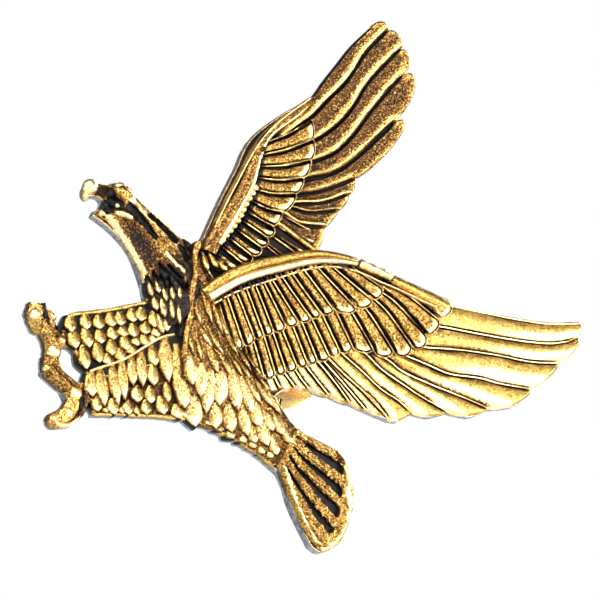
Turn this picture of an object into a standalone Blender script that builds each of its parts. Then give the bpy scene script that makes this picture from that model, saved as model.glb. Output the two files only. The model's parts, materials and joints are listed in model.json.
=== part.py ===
"""Cap badge: a cast eagle with two pins soldered to its back, each held by a butterfly clutch.

The badge stands as it is worn: +Z up, its front towards -Y, its flat back in the plane y = 0.
The origin is on that back, midway between the two pins. Every size below is in millimetres.
"""

import math

import bmesh
import bpy
from mathutils import Matrix, Vector

MM = 0.001

# Eagle, overall. The outlines further down are drawn at the drawn sizes and scaled to these.
EAGLE_WIDTH = 70.3
EAGLE_HEIGHT = 65.4
DRAWN_WIDTH = 70.3
DRAWN_HEIGHT = 65.4

# Eagle, how far each area stands in front of the flat back.
FAR_WING_FRONT = 2.2
FAR_COVERT_FRONT = 2.8
FAR_ARM_FRONT = 3.5
NEAR_WING_FRONT = 2.5
NEAR_COVERT_FRONT = 3.1
NEAR_SHOULDER_FRONT = 3.7
NEAR_ARM_FRONT = 4.6
HEAD_FRONT = 3.5
TRUNK_FRONT = 3.2
BREAST_FRONT = 5.2
THIGH_FRONT = 3.5
TALON_FRONT = 2.5
TAIL_FRONT = 2.1
FEATHER_RISE = 0.45

# Casting details.
DRAFT = 0.30
EDGE = 0.30
BURIED = 1.0

# Pins: a round-headed nail, its head soldered to the back.
PIN_RADIUS = 0.60
PIN_LENGTH = 8.7
PIN_POINT = 1.1
PIN_HEAD_RADIUS = 2.5
PIN_HEAD_THICKNESS = 0.5
PIN_GROOVE_DEPTH = 0.10
PIN_GROOVE_LENGTH = 0.7
SOLDER_WIDTH = 0.6
SEAT_GAP = 0.05

# Pin places on the drawn eagle: (across, up) from the middle of the back.
DRAWN_PINS = {"lower": (0.6, -8.0), "upper": (-0.6, 8.0)}
# How far each clutch is left turned about its pin, so that its wings stay behind the casting.
CLUTCH_TURNS = {"lower": 0.0, "upper": math.radians(-35.0)}

# Clutches: a stamped cup that slides on the pin, and a spring with two finger wings inside its lip.
CLOTH_ROOM = 2.2
CUP_RADIUS = 5.6
CUP_SHEET = 0.40
CUP_DISH_RADIUS = 3.40
CUP_DISH_DEPTH = 0.25
COLLAR_INNER_RADIUS = 3.30
COLLAR_SHEET = 0.40
LIP_OVERLAP = 0.45
SLIDING_CLEARANCE = 0.12
TURNING_CLEARANCE = 0.10
SPRING_SHEET = 0.28
WING_HALF_WIDTH = 2.3
WING_SPAN = 14.6
WING_RISE = 4.8
JAW_HEIGHT = 1.5

ROUND_STEPS = 36


def material(name, colour, metallic, roughness):
    made = bpy.data.materials.new(name)
    made.use_nodes = True
    shader = made.node_tree.nodes["Principled BSDF"]
    shader.inputs["Base Color"].default_value = (*colour, 1.0)
    shader.inputs["Metallic"].default_value = metallic
    shader.inputs["Roughness"].default_value = roughness
    return made


def add_object(name, mesh, finish=None):
    thing = bpy.data.objects.new(name, mesh)
    bpy.context.scene.collection.objects.link(thing)
    if finish:
        mesh.materials.append(finish)
    return thing


def mesh_from(bm, name):
    """A millimetre bmesh as a mesh in metres, with its faces turned outwards."""
    bmesh.ops.recalc_face_normals(bm, faces=bm.faces)
    bmesh.ops.scale(bm, vec=(MM, MM, MM), verts=bm.verts)
    mesh = bpy.data.meshes.new(name)
    bm.to_mesh(mesh)
    bm.free()
    return mesh


# ---------------------------------------------------------------- outlines of the eagle


def smooth_run(points, steps=2):
    """A Catmull-Rom curve through the points, without the last one."""
    ends = [points[0], *points, points[-1]]
    curve = []
    for a, b, c, d in zip(ends, ends[1:], ends[2:], ends[3:]):
        for step in range(steps):
            t = step / steps
            curve.append(
                tuple(
                    0.5
                    * (
                        2 * q
                        + (r - p) * t
                        + (2 * p - 5 * q + 4 * r - s) * t**2
                        + (3 * q - p - 3 * r + s) * t**3
                    )
                    for p, q, r, s in zip(a, b, c, d)
                )
            )
    return curve


def outline(*runs):
    """Joins smooth runs into one closed outline. A corner stands where two runs meet."""
    return [point for run in runs for point in smooth_run(run)]


def grown(points, distance):
    """The outline moved outwards by a distance, or inwards by a negative one."""
    area = sum(a[0] * b[1] - b[0] * a[1] for a, b in zip(points, points[1:] + points[:1]))
    out = math.copysign(1.0, area)
    moved = []
    for before, here, after in zip(points[-1:] + points[:-1], points, points[1:] + points[:1]):
        back = (Vector(here) - Vector(before)).normalized()
        ahead = (Vector(after) - Vector(here)).normalized()
        normal = Vector((back.y + ahead.y, -back.x - ahead.x)) * out
        if normal.length < 1e-6:
            normal = Vector((back.y, -back.x)) * out
        normal.normalize()
        across = abs(normal.dot(Vector((back.y, -back.x))))
        moved.append(tuple(Vector(here) + normal * distance / max(across, 0.6)))
    return moved


def on_eagle(point):
    """A drawn place, scaled to the eagle's overall size."""
    across, up = point
    return across * EAGLE_WIDTH / DRAWN_WIDTH, up * EAGLE_HEIGHT / DRAWN_HEIGHT


def drafted_slab(name, points, front, edge=EDGE):
    """A closed slab with an outline, drafted walls, a chamfered front and its back buried past y = 0."""
    wall = max(front - edge, edge)
    rings = (
        (BURIED, DRAFT * (1 + BURIED / wall)),
        (-wall, 0.0),
        (-front, -edge),
    )
    placed = [on_eagle(point) for point in points]
    bm = bmesh.new()
    made = []
    for depth, growth in rings:
        made.append([bm.verts.new((x, depth, z)) for x, z in grown(placed, growth)])
    for low, high in zip(made, made[1:]):
        for i, j in zip(range(len(low)), [*range(1, len(low)), 0]):
            bm.faces.new((low[i], low[j], high[j], high[i]))
    bm.faces.new(made[0])
    bm.faces.new(made[-1])
    return add_object(name, mesh_from(bm, name))


def blade(root, bend, tip, root_width, tip_width):
    """The outline of one feather: a curved strip from root to tip with a round end."""
    stations = 5
    centre = []
    for step in range(stations + 1):
        t = step / stations
        centre.append(
            Vector(root) * (1 - t) ** 2 + Vector(bend) * 2 * t * (1 - t) + Vector(tip) * t**2
        )
    left, right = [], []
    for step, here in enumerate(centre[:-1]):
        along = (centre[step + 1] - here).normalized()
        side = Vector((-along.y, along.x))
        half = root_width + (tip_width - root_width) * step / stations
        left.append(tuple(here + side * half / 2))
        right.append(tuple(here - side * half / 2))
    shoulder = centre[-1] - along * tip_width / 2
    round_end = [
        tuple(
            shoulder
            + (side * math.cos(math.pi * k / 4) + along * math.sin(math.pi * k / 4)) * tip_width / 2
        )
        for k in range(5)
    ]
    return left + round_end + right[::-1]


def swept_tube(name, places, radius):
    """A round bar through (across, up, front, share of the radius) places, for the wing bones."""
    curve = bpy.data.curves.new(name, "CURVE")
    curve.dimensions = "3D"
    curve.bevel_depth = radius * MM
    curve.bevel_resolution = 2
    curve.use_fill_caps = True
    spline = curve.splines.new("POLY")
    spline.points.add(len(places) - 1)
    for point, (across, up, front, share) in zip(spline.points, places):
        x, z = on_eagle((across, up))
        point.co = (x * MM, -front * MM, z * MM, 1.0)
        point.radius = share
    guide = bpy.data.objects.new(name + "_guide", curve)
    bpy.context.scene.collection.objects.link(guide)
    bpy.context.view_layer.update()
    graph = bpy.context.evaluated_depsgraph_get()
    mesh = bpy.data.meshes.new_from_object(guide.evaluated_get(graph))
    bpy.data.objects.remove(guide)
    bm = bmesh.new()
    bm.from_mesh(mesh)
    bmesh.ops.remove_doubles(bm, verts=bm.verts, dist=0.01 * MM)
    bmesh.ops.recalc_face_normals(bm, faces=bm.faces)
    bm.to_mesh(mesh)
    bm.free()
    return add_object(name, mesh)


def dome(name, centre, reach, front, turn=0.0):
    """Half an ellipsoid bulging forwards, its long way turned in the plane of the badge."""
    bm = bmesh.new()
    bmesh.ops.create_uvsphere(bm, u_segments=20, v_segments=10, radius=1.0)
    bmesh.ops.rotate(bm, verts=bm.verts, matrix=Matrix.Rotation(math.pi / 2, 3, "X"))
    bmesh.ops.scale(bm, vec=(reach[0], front, reach[1]), verts=bm.verts)
    bmesh.ops.rotate(bm, verts=bm.verts, matrix=Matrix.Rotation(math.radians(turn), 3, "Y"))
    x, z = on_eagle(centre)
    bmesh.ops.translate(bm, verts=bm.verts, vec=(x, 0.0, z))
    return add_object(name, mesh_from(bm, name))


# Each outline is a list of smooth runs of (across, up) places on the drawn eagle.
FAR_WING = outline(
    [(-9.4, 6.3), (-7.3, 11.3), (-5.8, 14.9), (-4.5, 17.5), (-2.1, 19.6), (0.6, 21.9), (3.7, 23.9)],
    [(3.7, 23.9), (5.0, 25.6), (6.8, 27.9), (8.9, 30.4), (11.2, 32.7)],
    [(11.2, 32.7), (12.4, 33.4), (13.3, 32.6)],
    [(13.3, 32.6), (14.6, 32.0), (14.9, 30.4)],
    [(14.9, 30.4), (16.0, 29.0), (15.1, 27.1)],
    [(15.1, 27.1), (16.8, 25.6), (13.8, 21.3)],
    [(13.8, 21.3), (14.7, 19.6), (11.9, 16.1), (9.1, 14.0)],
    [(9.1, 14.0), (8.9, 13.0), (8.4, 12.4)],
    [(8.4, 12.4), (7.9, 11.2), (7.0, 10.3)],
    [(7.0, 10.3), (6.0, 9.0), (5.2, 8.0)],
    [(5.2, 8.0), (4.4, 6.6), (3.9, 4.4)],
    [(3.9, 4.4), (-1.4, 1.5), (-9.5, -2.5), (-11.2, 4.0), (-9.4, 6.3)],
)
FAR_COVERTS = outline(
    [(-7.4, 5.2), (-3.0, 12.6), (-1.9, 17.6), (2.6, 21.6)],
    [(2.6, 21.6), (3.8, 19.8), (3.4, 18.6)],
    [(3.4, 18.6), (3.9, 17.2), (3.2, 16.2)],
    [(3.2, 16.2), (3.1, 14.8), (2.3, 13.9)],
    [(2.3, 13.9), (2.2, 12.8), (1.4, 12.0)],
    [(1.4, 12.0), (0.9, 10.4), (-0.3, 9.7)],
    [(-0.3, 9.7), (-0.8, 8.3), (-1.8, 7.9)],
    [(-1.8, 7.9), (-2.6, 5.6), (-4.6, 4.0), (-7.4, 2.6)],
)
NEAR_WING = outline(
    [(-10.0, -0.4), (-7.8, 1.5), (-1.4, 3.8), (4.4, 4.9), (8.8, 4.3), (13.4, 2.7), (20.6, -0.4)],
    [(20.6, -0.5), (27.6, -1.8), (33.0, -2.4), (37.2, -2.1), (37.7, -3.0), (36.9, -4.0)],
    [(36.9, -4.0), (36.9, -5.6), (34.4, -7.1)],
    [(34.4, -7.1), (33.7, -8.8), (30.9, -10.6)],
    [(30.9, -10.6), (29.2, -12.7), (25.6, -13.3)],
    [(25.6, -13.3), (23.4, -14.3), (20.6, -13.8)],
    [(20.6, -13.8), (18.3, -14.5), (15.9, -14.0)],
    [(15.9, -14.0), (14.2, -15.2), (11.7, -14.5), (7.3, -12.8), (2.8, -11.5), (0.6, -11.6), (-1.2, -12.8)],
    [(-1.2, -12.8), (-7.0, -12.0), (-11.0, -6.0), (-10.0, -0.4)],
)
NEAR_COVERTS = outline(
    [(-8.6, -1.2), (-1.3, 1.4), (5.0, 3.0), (8.9, 2.9), (13.4, 1.6), (20.2, -0.8)],
    [(20.2, -0.8), (20.4, -1.8), (18.8, -2.7)],
    [(18.8, -2.7), (19.0, -4.2), (17.4, -4.6)],
    [(17.4, -4.6), (17.0, -6.6), (15.3, -6.4)],
    [(15.3, -6.4), (14.4, -7.6), (13.2, -6.9)],
    [(13.2, -6.9), (12.0, -7.8), (10.6, -6.9)],
    [(10.6, -6.9), (9.6, -7.4), (8.3, -6.4), (3.6, -8.4), (-2.8, -10.2), (-5.4, -7.8), (-8.6, -1.2)],
)
NEAR_SHOULDER = outline(
    [(-8.4, -1.4), (-1.3, 1.4), (5.0, 3.0), (9.4, 2.5)],
    [(9.4, 2.5), (11.6, 0.2), (10.7, -1.1)],
    [(10.7, -1.1), (9.8, -1.9), (8.6, -1.9), (5.4, -2.6), (0.8, -4.0), (-3.4, -5.6), (-5.8, -6.8)],
    [(-5.8, -6.8), (-7.6, -4.6), (-8.4, -1.4)],
)
HEAD = outline(
    [(-21.9, 12.2), (-20.6, 12.5), (-19.2, 12.0), (-16.0, 9.0), (-11.3, 5.2)],
    [(-11.3, 5.2), (-8.0, 0.0), (-9.0, -5.0), (-14.0, -5.0), (-17.0, -2.4)],
    [(-17.0, -2.4), (-17.5, 0.3), (-19.0, 4.0), (-21.2, 6.5), (-23.7, 8.3)],
    [(-23.7, 8.3), (-23.3, 9.0), (-22.3, 9.2), (-22.8, 10.4), (-24.0, 10.6)],
    [(-24.0, 10.6), (-24.6, 10.4), (-24.8, 11.4), (-24.0, 12.5), (-22.9, 12.4), (-21.9, 12.2)],
)
TRUNK = outline(
    [(-11.3, 5.0), (-9.8, 2.0), (-8.2, -2.0), (-6.0, -6.6), (-3.2, -10.6), (-0.9, -12.8)],
    [(-0.9, -12.8), (0.5, -15.4), (3.0, -17.4), (2.0, -20.6), (-1.5, -21.3)],
    [(-1.5, -21.3), (-4.2, -19.5), (-8.2, -17.6), (-12.1, -16.2), (-16.0, -14.0)],
    [(-16.0, -14.0), (-17.5, -8.0), (-16.8, -2.2), (-13.0, 2.0), (-11.3, 5.0)],
)
UPPER_THIGH = outline(
    [(-27.1, -4.3), (-26.1, -3.5), (-22.3, -3.0), (-17.2, -1.8)],
    [(-17.2, -1.8), (-13.0, -2.4), (-11.0, -6.0), (-14.0, -8.5)],
    [(-14.0, -8.5), (-19.0, -10.4), (-24.2, -11.6)],
    [(-24.2, -11.6), (-24.9, -9.8), (-26.4, -7.4), (-27.1, -4.3)],
)
LOWER_THIGH = outline(
    [(-24.3, -10.4), (-21.5, -9.6), (-17.0, -7.0), (-13.6, -5.6)],
    [(-13.6, -5.6), (-9.0, -8.0), (-8.4, -13.6), (-10.4, -16.8)],
    [(-10.4, -16.8), (-13.0, -16.3), (-19.0, -16.1), (-23.6, -16.3)],
    [(-23.6, -16.3), (-24.0, -13.6), (-24.3, -10.4)],
)
TALONS = outline(
    [(-30.8, -2.5), (-29.8, -2.4), (-29.0, -3.7), (-27.9, -5.6), (-25.6, -5.4)],
    [(-25.6, -5.4), (-22.6, -9.0), (-23.2, -13.0), (-24.6, -14.9)],
    [(-24.6, -14.9), (-25.5, -16.4), (-27.3, -17.4), (-28.8, -16.0)],
    [(-28.8, -16.0), (-27.4, -15.4), (-26.9, -14.2), (-28.0, -12.2), (-29.5, -11.4)],
    [(-29.5, -11.4), (-29.9, -10.6), (-29.3, -8.6), (-29.7, -6.7), (-31.3, -4.7)],
    [(-31.3, -4.7), (-31.9, -3.6), (-30.8, -2.5)],
)
TALON_HOLE = outline(
    [(-27.6, -7.6), (-26.4, -7.8), (-25.3, -9.0), (-24.6, -10.6), (-24.9, -11.9)],
    [(-24.9, -11.9), (-26.2, -11.9), (-27.4, -10.6), (-28.0, -8.7), (-27.6, -7.6)],
)
TAIL = outline(
    [(-0.6, -12.8), (0.5, -15.4), (4.8, -17.9), (7.0, -18.7), (7.9, -20.5)],
    [(7.9, -20.5), (8.5, -22.6), (8.5, -24.6), (8.6, -26.4), (8.0, -28.4)],
    [(8.0, -28.4), (7.4, -29.8), (6.0, -30.7), (4.5, -31.3), (3.3, -30.6)],
    [(3.3, -30.6), (0.9, -25.9), (-0.2, -22.4), (-1.5, -21.2), (-4.0, -19.2)],
)
NEAR_ARM = [
    (-9.0, -0.4, 3.6, 0.7),
    (-6.9, 0.9, 3.6, 1.0),
    (-1.4, 2.7, 3.6, 1.0),
    (3.0, 3.8, 3.6, 0.9),
    (8.0, 3.8, 3.3, 0.5),
]
FAR_ARM = [
    (-9.1, 5.3, 2.6, 0.9),
    (-6.2, 10.4, 2.6, 1.0),
    (-3.5, 15.8, 2.6, 1.0),
    (-1.4, 19.2, 2.6, 0.8),
    (2.4, 22.2, 2.4, 0.4),
]
FAR_FEATHERS = (
    ((3.6, 21.6), (7.4, 26.6), (12.6, 32.9), 1.5, 1.6),
    ((4.2, 19.6), (8.8, 23.4), (14.4, 31.2), 1.6, 1.6),
    ((4.2, 17.6), (9.6, 19.6), (15.4, 28.6), 1.6, 1.5),
    ((3.6, 15.4), (10.0, 17.4), (16.0, 25.3), 1.6, 1.9),
    ((3.0, 13.4), (8.6, 14.0), (14.0, 19.5), 1.4, 2.2),
    ((1.8, 11.4), (5.4, 11.6), (8.3, 12.9), 1.0, 1.1),
    ((0.6, 9.6), (3.8, 9.4), (6.2, 9.4), 1.0, 1.1),
)
NEAR_FEATHERS = (
    ((20.6, -1.9), (28.0, -3.4), (37.0, -3.2), 2.0, 1.6),
    ((19.2, -4.2), (28.0, -5.9), (36.0, -5.4), 2.2, 1.9),
    ((17.2, -6.0), (26.4, -7.6), (33.0, -8.6), 1.9, 1.8),
    ((14.6, -7.2), (23.0, -9.8), (29.3, -11.6), 1.6, 1.8),
    ((11.8, -7.6), (17.6, -10.6), (23.6, -13.1), 1.6, 1.5),
    ((9.2, -7.4), (13.4, -11.2), (19.4, -13.6), 1.6, 1.4),
    ((5.4, -8.2), (8.8, -11.0), (14.6, -14.2), 1.5, 1.4),
)
TAIL_FEATHERS = (
    ((0.3, -19.0), (1.4, -24.0), (3.6, -29.9), 1.0, 1.5),
    ((1.1, -18.8), (3.0, -23.0), (5.7, -29.1), 1.0, 1.5),
    ((1.9, -18.4), (4.4, -22.0), (7.2, -27.0), 1.0, 1.4),
    ((2.5, -17.9), (5.2, -20.4), (7.4, -23.8), 1.0, 1.3),
    ((3.0, -17.4), (5.0, -18.4), (6.7, -20.6), 0.9, 1.1),
)


def feathers(name, rows, front):
    return [
        drafted_slab(f"{name}_{number}", blade(*row), front + FEATHER_RISE, edge=0.2)
        for number, row in enumerate(rows, 1)
    ]


def casting_pieces():
    """The overlapping bodies that the casting's Booleans join."""
    return [
        drafted_slab("near_wing", NEAR_WING, NEAR_WING_FRONT),
        drafted_slab("far_wing", FAR_WING, FAR_WING_FRONT),
        drafted_slab("far_coverts", FAR_COVERTS, FAR_COVERT_FRONT),
        drafted_slab("near_coverts", NEAR_COVERTS, NEAR_COVERT_FRONT),
        drafted_slab("near_shoulder", NEAR_SHOULDER, NEAR_SHOULDER_FRONT),
        drafted_slab("head", HEAD, HEAD_FRONT, edge=0.45),
        drafted_slab("upper_thigh", UPPER_THIGH, THIGH_FRONT - 0.4, edge=0.4),
        drafted_slab("lower_thigh", LOWER_THIGH, THIGH_FRONT, edge=0.5),
        drafted_slab("talons", TALONS, TALON_FRONT),
        drafted_slab("tail", TAIL, TAIL_FRONT),
        swept_tube("near_arm", NEAR_ARM, NEAR_ARM_FRONT - NEAR_SHOULDER_FRONT + 0.1),
        swept_tube("far_arm", FAR_ARM, FAR_ARM_FRONT - FAR_WING_FRONT - 0.4),
        dome("breast", (-7.8, -9.2), (5.6, 8.8), BREAST_FRONT, turn=-24.0),
        dome("shoulder", (-11.8, -1.0), (3.2, 5.6), BREAST_FRONT - 0.6, turn=-6.0),
        *feathers("far_feather", FAR_FEATHERS, FAR_WING_FRONT),
        *feathers("near_feather", NEAR_FEATHERS, NEAR_WING_FRONT),
        *feathers("tail_feather", TAIL_FEATHERS, TAIL_FRONT),
    ]


def box_cutter(name, low, high):
    bm = bmesh.new()
    bmesh.ops.create_cube(bm, size=1.0)
    bmesh.ops.scale(bm, vec=[h - l for l, h in zip(low, high)], verts=bm.verts)
    bmesh.ops.translate(bm, vec=[(h + l) / 2 for l, h in zip(low, high)], verts=bm.verts)
    return add_object(name, mesh_from(bm, name))


def boolean(target, tool, operation):
    step = target.modifiers.new(tool.name, "BOOLEAN")
    step.operation = operation
    step.object = tool
    step.solver = "EXACT"


def applied(thing):
    """Turns the object's modifiers into its mesh."""
    bpy.context.view_layer.update()
    graph = bpy.context.evaluated_depsgraph_get()
    mesh = bpy.data.meshes.new_from_object(thing.evaluated_get(graph))
    thing.modifiers.clear()
    thing.data = mesh


def eagle_casting(finish):
    trunk = drafted_slab("eagle_casting", TRUNK, TRUNK_FRONT, edge=0.5)
    tools = casting_pieces()
    for piece in tools:
        boolean(trunk, piece, "UNION")
    hole = drafted_slab("talon_hole", TALON_HOLE, TALON_FRONT + BURIED + 1.0, edge=0.0)
    behind = box_cutter("behind_the_back", (-80, 0, -80), (80, 3 * BURIED + 3, 80))
    for cutter in (hole, behind):
        boolean(trunk, cutter, "DIFFERENCE")
    applied(trunk)
    for tool in (*tools, hole, behind):
        bpy.data.objects.remove(tool)
    # Two cuts across the back keep its middle, which rests on the cap, clear of the pin heads.
    bm = bmesh.new()
    bm.from_mesh(trunk.data)
    for side in (-1, 1):
        up = side * on_eagle(DRAWN_PINS["upper"])[1] / 2
        bmesh.ops.bisect_plane(
            bm,
            geom=[*bm.verts, *bm.edges, *bm.faces],
            plane_co=(0, 0, up * MM),
            plane_no=(0, 0, 1),
        )
    bm.to_mesh(trunk.data)
    bm.free()
    trunk.data.materials.clear()
    trunk.data.materials.append(finish)
    return trunk


# ---------------------------------------------------------------- pins and clutches


def turned(name, profile, finish):
    """A solid of revolution about +Y from a closed (radius, depth) profile."""
    bm = bmesh.new()
    rings = []
    for step in range(ROUND_STEPS):
        angle = 2 * math.pi * step / ROUND_STEPS
        rings.append(
            [
                bm.verts.new((radius * math.cos(angle), depth, radius * math.sin(angle)))
                for radius, depth in profile
            ]
        )
    pairs = [*zip(range(len(profile)), range(1, len(profile))), (len(profile) - 1, 0)]
    for ring, following in zip(rings, rings[1:] + rings[:1]):
        for a, b in pairs:
            bm.faces.new((ring[a], ring[b], following[b], following[a]))
    bmesh.ops.remove_doubles(bm, verts=bm.verts, dist=1e-5)
    bmesh.ops.dissolve_degenerate(bm, edges=bm.edges, dist=1e-5)
    mesh = mesh_from(bm, name)
    mesh.shade_smooth()
    mesh.set_sharp_from_angle(angle=math.radians(35))
    return add_object(name, mesh, finish)


def pin(name, finish):
    """A nail on the Y axis: head against the back, shank with a groove for the jaws, and a point."""
    head = SEAT_GAP + PIN_HEAD_THICKNESS
    groove = CLOTH_ROOM + CUP_SHEET + JAW_HEIGHT
    waist = PIN_RADIUS - PIN_GROOVE_DEPTH
    half = PIN_GROOVE_LENGTH / 2
    return turned(
        name,
        [
            (0.0, SEAT_GAP),
            (PIN_HEAD_RADIUS, SEAT_GAP),
            (PIN_HEAD_RADIUS, head - 0.15),
            (PIN_HEAD_RADIUS - 0.15, head),
            (PIN_RADIUS + 0.15, head),
            (PIN_RADIUS, head + 0.15),
            (PIN_RADIUS, groove - half),
            (waist, groove - half + PIN_GROOVE_DEPTH),
            (waist, groove + half - PIN_GROOVE_DEPTH),
            (PIN_RADIUS, groove + half),
            (PIN_RADIUS, PIN_LENGTH - PIN_POINT),
            (PIN_RADIUS * 0.4, PIN_LENGTH - PIN_POINT * 0.2),
            (0.0, PIN_LENGTH),
        ],
        finish,
    )


def solder_ring(name, finish):
    """The fillet of solder that holds a pin's head to the casting."""
    inner = PIN_HEAD_RADIUS + SEAT_GAP
    return turned(
        name,
        [
            (inner, SEAT_GAP),
            (inner + SOLDER_WIDTH, SEAT_GAP),
            (inner + SOLDER_WIDTH * 0.35, SEAT_GAP + PIN_HEAD_THICKNESS * 0.35),
            (inner, SEAT_GAP + PIN_HEAD_THICKNESS * 0.8),
        ],
        finish,
    )


def cup(name, finish):
    """The stamped cup: a flange against the cloth, a dished middle, and a collar with a turned-in lip."""
    face = CLOTH_ROOM
    back = face + CUP_SHEET
    bore = PIN_RADIUS + SLIDING_CLEARANCE
    outer = COLLAR_INNER_RADIUS + COLLAR_SHEET
    lip_low = back + TURNING_CLEARANCE + SPRING_SHEET + TURNING_CLEARANCE
    lip_high = lip_low + CUP_SHEET
    return turned(
        name,
        [
            (bore, face + CUP_DISH_DEPTH),
            (CUP_DISH_RADIUS - 2 * CUP_DISH_DEPTH, face + CUP_DISH_DEPTH),
            (CUP_DISH_RADIUS, face),
            (CUP_RADIUS - 0.2, face),
            (CUP_RADIUS, face + 0.15),
            (CUP_RADIUS, back - 0.15),
            (CUP_RADIUS - 0.15, back),
            (outer, back),
            (outer, lip_high - 0.2),
            (outer - 0.2, lip_high),
            (COLLAR_INNER_RADIUS - LIP_OVERLAP, lip_high),
            (COLLAR_INNER_RADIUS - LIP_OVERLAP, lip_low),
            (COLLAR_INNER_RADIUS, lip_low),
            (COLLAR_INNER_RADIUS, back),
            (bore, back),
        ],
        finish,
    )


def spring_plate(name, finish):
    """The round middle of the spring, which turns in the cup under its lip."""
    low = CLOTH_ROOM + CUP_SHEET + TURNING_CLEARANCE
    rim = COLLAR_INNER_RADIUS - TURNING_CLEARANCE
    bore = PIN_RADIUS + 2 * SLIDING_CLEARANCE
    return turned(
        name,
        [(bore, low), (rim, low), (rim, low + SPRING_SHEET), (bore, low + SPRING_SHEET)],
        finish,
    )


# Shares of the spring strip's half width: its narrowing at the fold, how far the fold stays inside the
# collar's lip for it, and the tongue that passes through the other arm's slot.
FOLD_NARROWING = 0.72
FOLD_SETBACK = 0.42
TONGUE_SHARE = 0.46
FOLD_HEIGHT = CLOTH_ROOM + CUP_SHEET + TURNING_CLEARANCE + SPRING_SHEET + SEAT_GAP
FOLD_REACH = COLLAR_INNER_RADIUS - LIP_OVERLAP - TURNING_CLEARANCE - WING_HALF_WIDTH * FOLD_SETBACK
# The slot and the tongue run this far to each side of the pin, between these heights over the cup's floor.
CROSSING_REACH = 1.75
CROSSING_BELOW = 1.2
CROSSING_ABOVE = 2.0


def wing_path():
    """The bent line of one arm, from its fold on the left, over the pin, to its finger tip on the right.

    Each place is (across, depth, half width) about the pin's axis.
    """
    tip = WING_SPAN / 2
    base = FOLD_HEIGHT + SPRING_SHEET / 2
    jaw = CLOTH_ROOM + CUP_SHEET + JAW_HEIGHT + 0.35
    narrow = WING_HALF_WIDTH * FOLD_NARROWING
    return [
        (-FOLD_REACH + 0.75, base, narrow),
        (-FOLD_REACH, base, narrow),
        (-FOLD_REACH - 0.28, base + 0.20, narrow),
        (-FOLD_REACH - 0.20, base + 0.52, narrow),
        (-1.1, jaw - 0.42, WING_HALF_WIDTH * 0.9),
        (0.0, jaw, WING_HALF_WIDTH * 0.9),
        (1.4, jaw + 0.55, WING_HALF_WIDTH),
        (tip * 0.40, jaw + WING_RISE * 0.26, WING_HALF_WIDTH),
        (tip * 0.62, jaw + WING_RISE * 0.55, WING_HALF_WIDTH),
        (tip * 0.78, jaw + WING_RISE * 0.70, WING_HALF_WIDTH * 0.93),
        (tip * 0.90, jaw + WING_RISE * 0.74, WING_HALF_WIDTH * 0.74),
        (tip * 0.97, jaw + WING_RISE * 0.74, WING_HALF_WIDTH * 0.48),
        (tip, jaw + WING_RISE * 0.735, WING_HALF_WIDTH * 0.18),
    ]


def strip(path, thickness):
    """A closed bmesh of sheet metal bent along a path of (across, depth, half width) places."""
    bm = bmesh.new()
    sections = []
    for step, (across, depth, half) in enumerate(path):
        before = Vector(path[max(step - 1, 0)][:2])
        after = Vector(path[min(step + 1, len(path) - 1)][:2])
        along = (after - before).normalized()
        normal = Vector((-along.y, along.x)) * thickness / 2
        sections.append(
            [
                bm.verts.new((across + sign * normal.x, depth + sign * normal.y, side * half))
                for sign, side in ((1, -1), (1, 1), (-1, 1), (-1, -1))
            ]
        )
    for near, far in zip(sections, sections[1:]):
        for a, b in ((0, 1), (1, 2), (2, 3), (3, 0)):
            bm.faces.new((near[a], near[b], far[b], far[a]))
    bm.faces.new(sections[0])
    bm.faces.new(sections[-1])
    return bm


def clutch_arm(name, side, finish):
    """One arm and finger wing of the spring. side is 1 for the arm whose wing points to +X, -1 for the other.

    The two arms cross at the pin. The slotted one lets the tongue of the other through.
    """
    arm = add_object(name, mesh_from(strip(wing_path(), SPRING_SHEET), name), finish)
    crossing = CLOTH_ROOM + CUP_SHEET + JAW_HEIGHT
    tall = (crossing - CROSSING_BELOW, crossing + CROSSING_ABOVE)
    jaw = PIN_RADIUS + SEAT_GAP
    tongue = WING_HALF_WIDTH * TONGUE_SHARE
    slot = tongue + TURNING_CLEARANCE + SEAT_GAP
    hole = PIN_RADIUS + TURNING_CLEARANCE
    beyond = CROSSING_REACH
    if side > 0:
        cutters = [box_cutter(name + "_slot", (-jaw, tall[0], -slot), (beyond, tall[1], slot))]
    else:
        cutters = [
            box_cutter(name + "_pin_hole", (-jaw, tall[0], -hole), (PIN_RADIUS + 0.55, tall[1], hole)),
            box_cutter(name + "_side_low", (-beyond, tall[0], -WING_SPAN), (beyond, tall[1], -tongue)),
            box_cutter(name + "_side_high", (-beyond, tall[0], tongue), (beyond, tall[1], WING_SPAN)),
        ]
    for cutter in cutters:
        boolean(arm, cutter, "DIFFERENCE")
    applied(arm)
    for cutter in cutters:
        bpy.data.objects.remove(cutter)
    if side < 0:
        arm.data.transform(Matrix.Rotation(math.pi, 4, "Y"))
    return arm


def stand_at(thing, place, turn):
    """Turns a piece made about the Y axis as its clutch was left, and moves its origin onto its pin."""
    across, up = on_eagle(place)
    thing.data.transform(Matrix.Rotation(turn, 4, "Y"))
    thing.location = (across * MM, 0.0, up * MM)


def fastener(where, place, turn, brass, steel, solder):
    """One pin with its clutch, left turned by an angle about the pin."""
    for thing in (
        pin(f"{where}_pin", steel),
        solder_ring(f"{where}_pin_solder", solder),
        cup(f"{where}_clutch_cup", brass),
        spring_plate(f"{where}_clutch_spring_plate", brass),
        clutch_arm(f"{where}_clutch_right_wing", 1, brass),
        clutch_arm(f"{where}_clutch_left_wing", -1, brass),
    ):
        stand_at(thing, place, turn)


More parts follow.
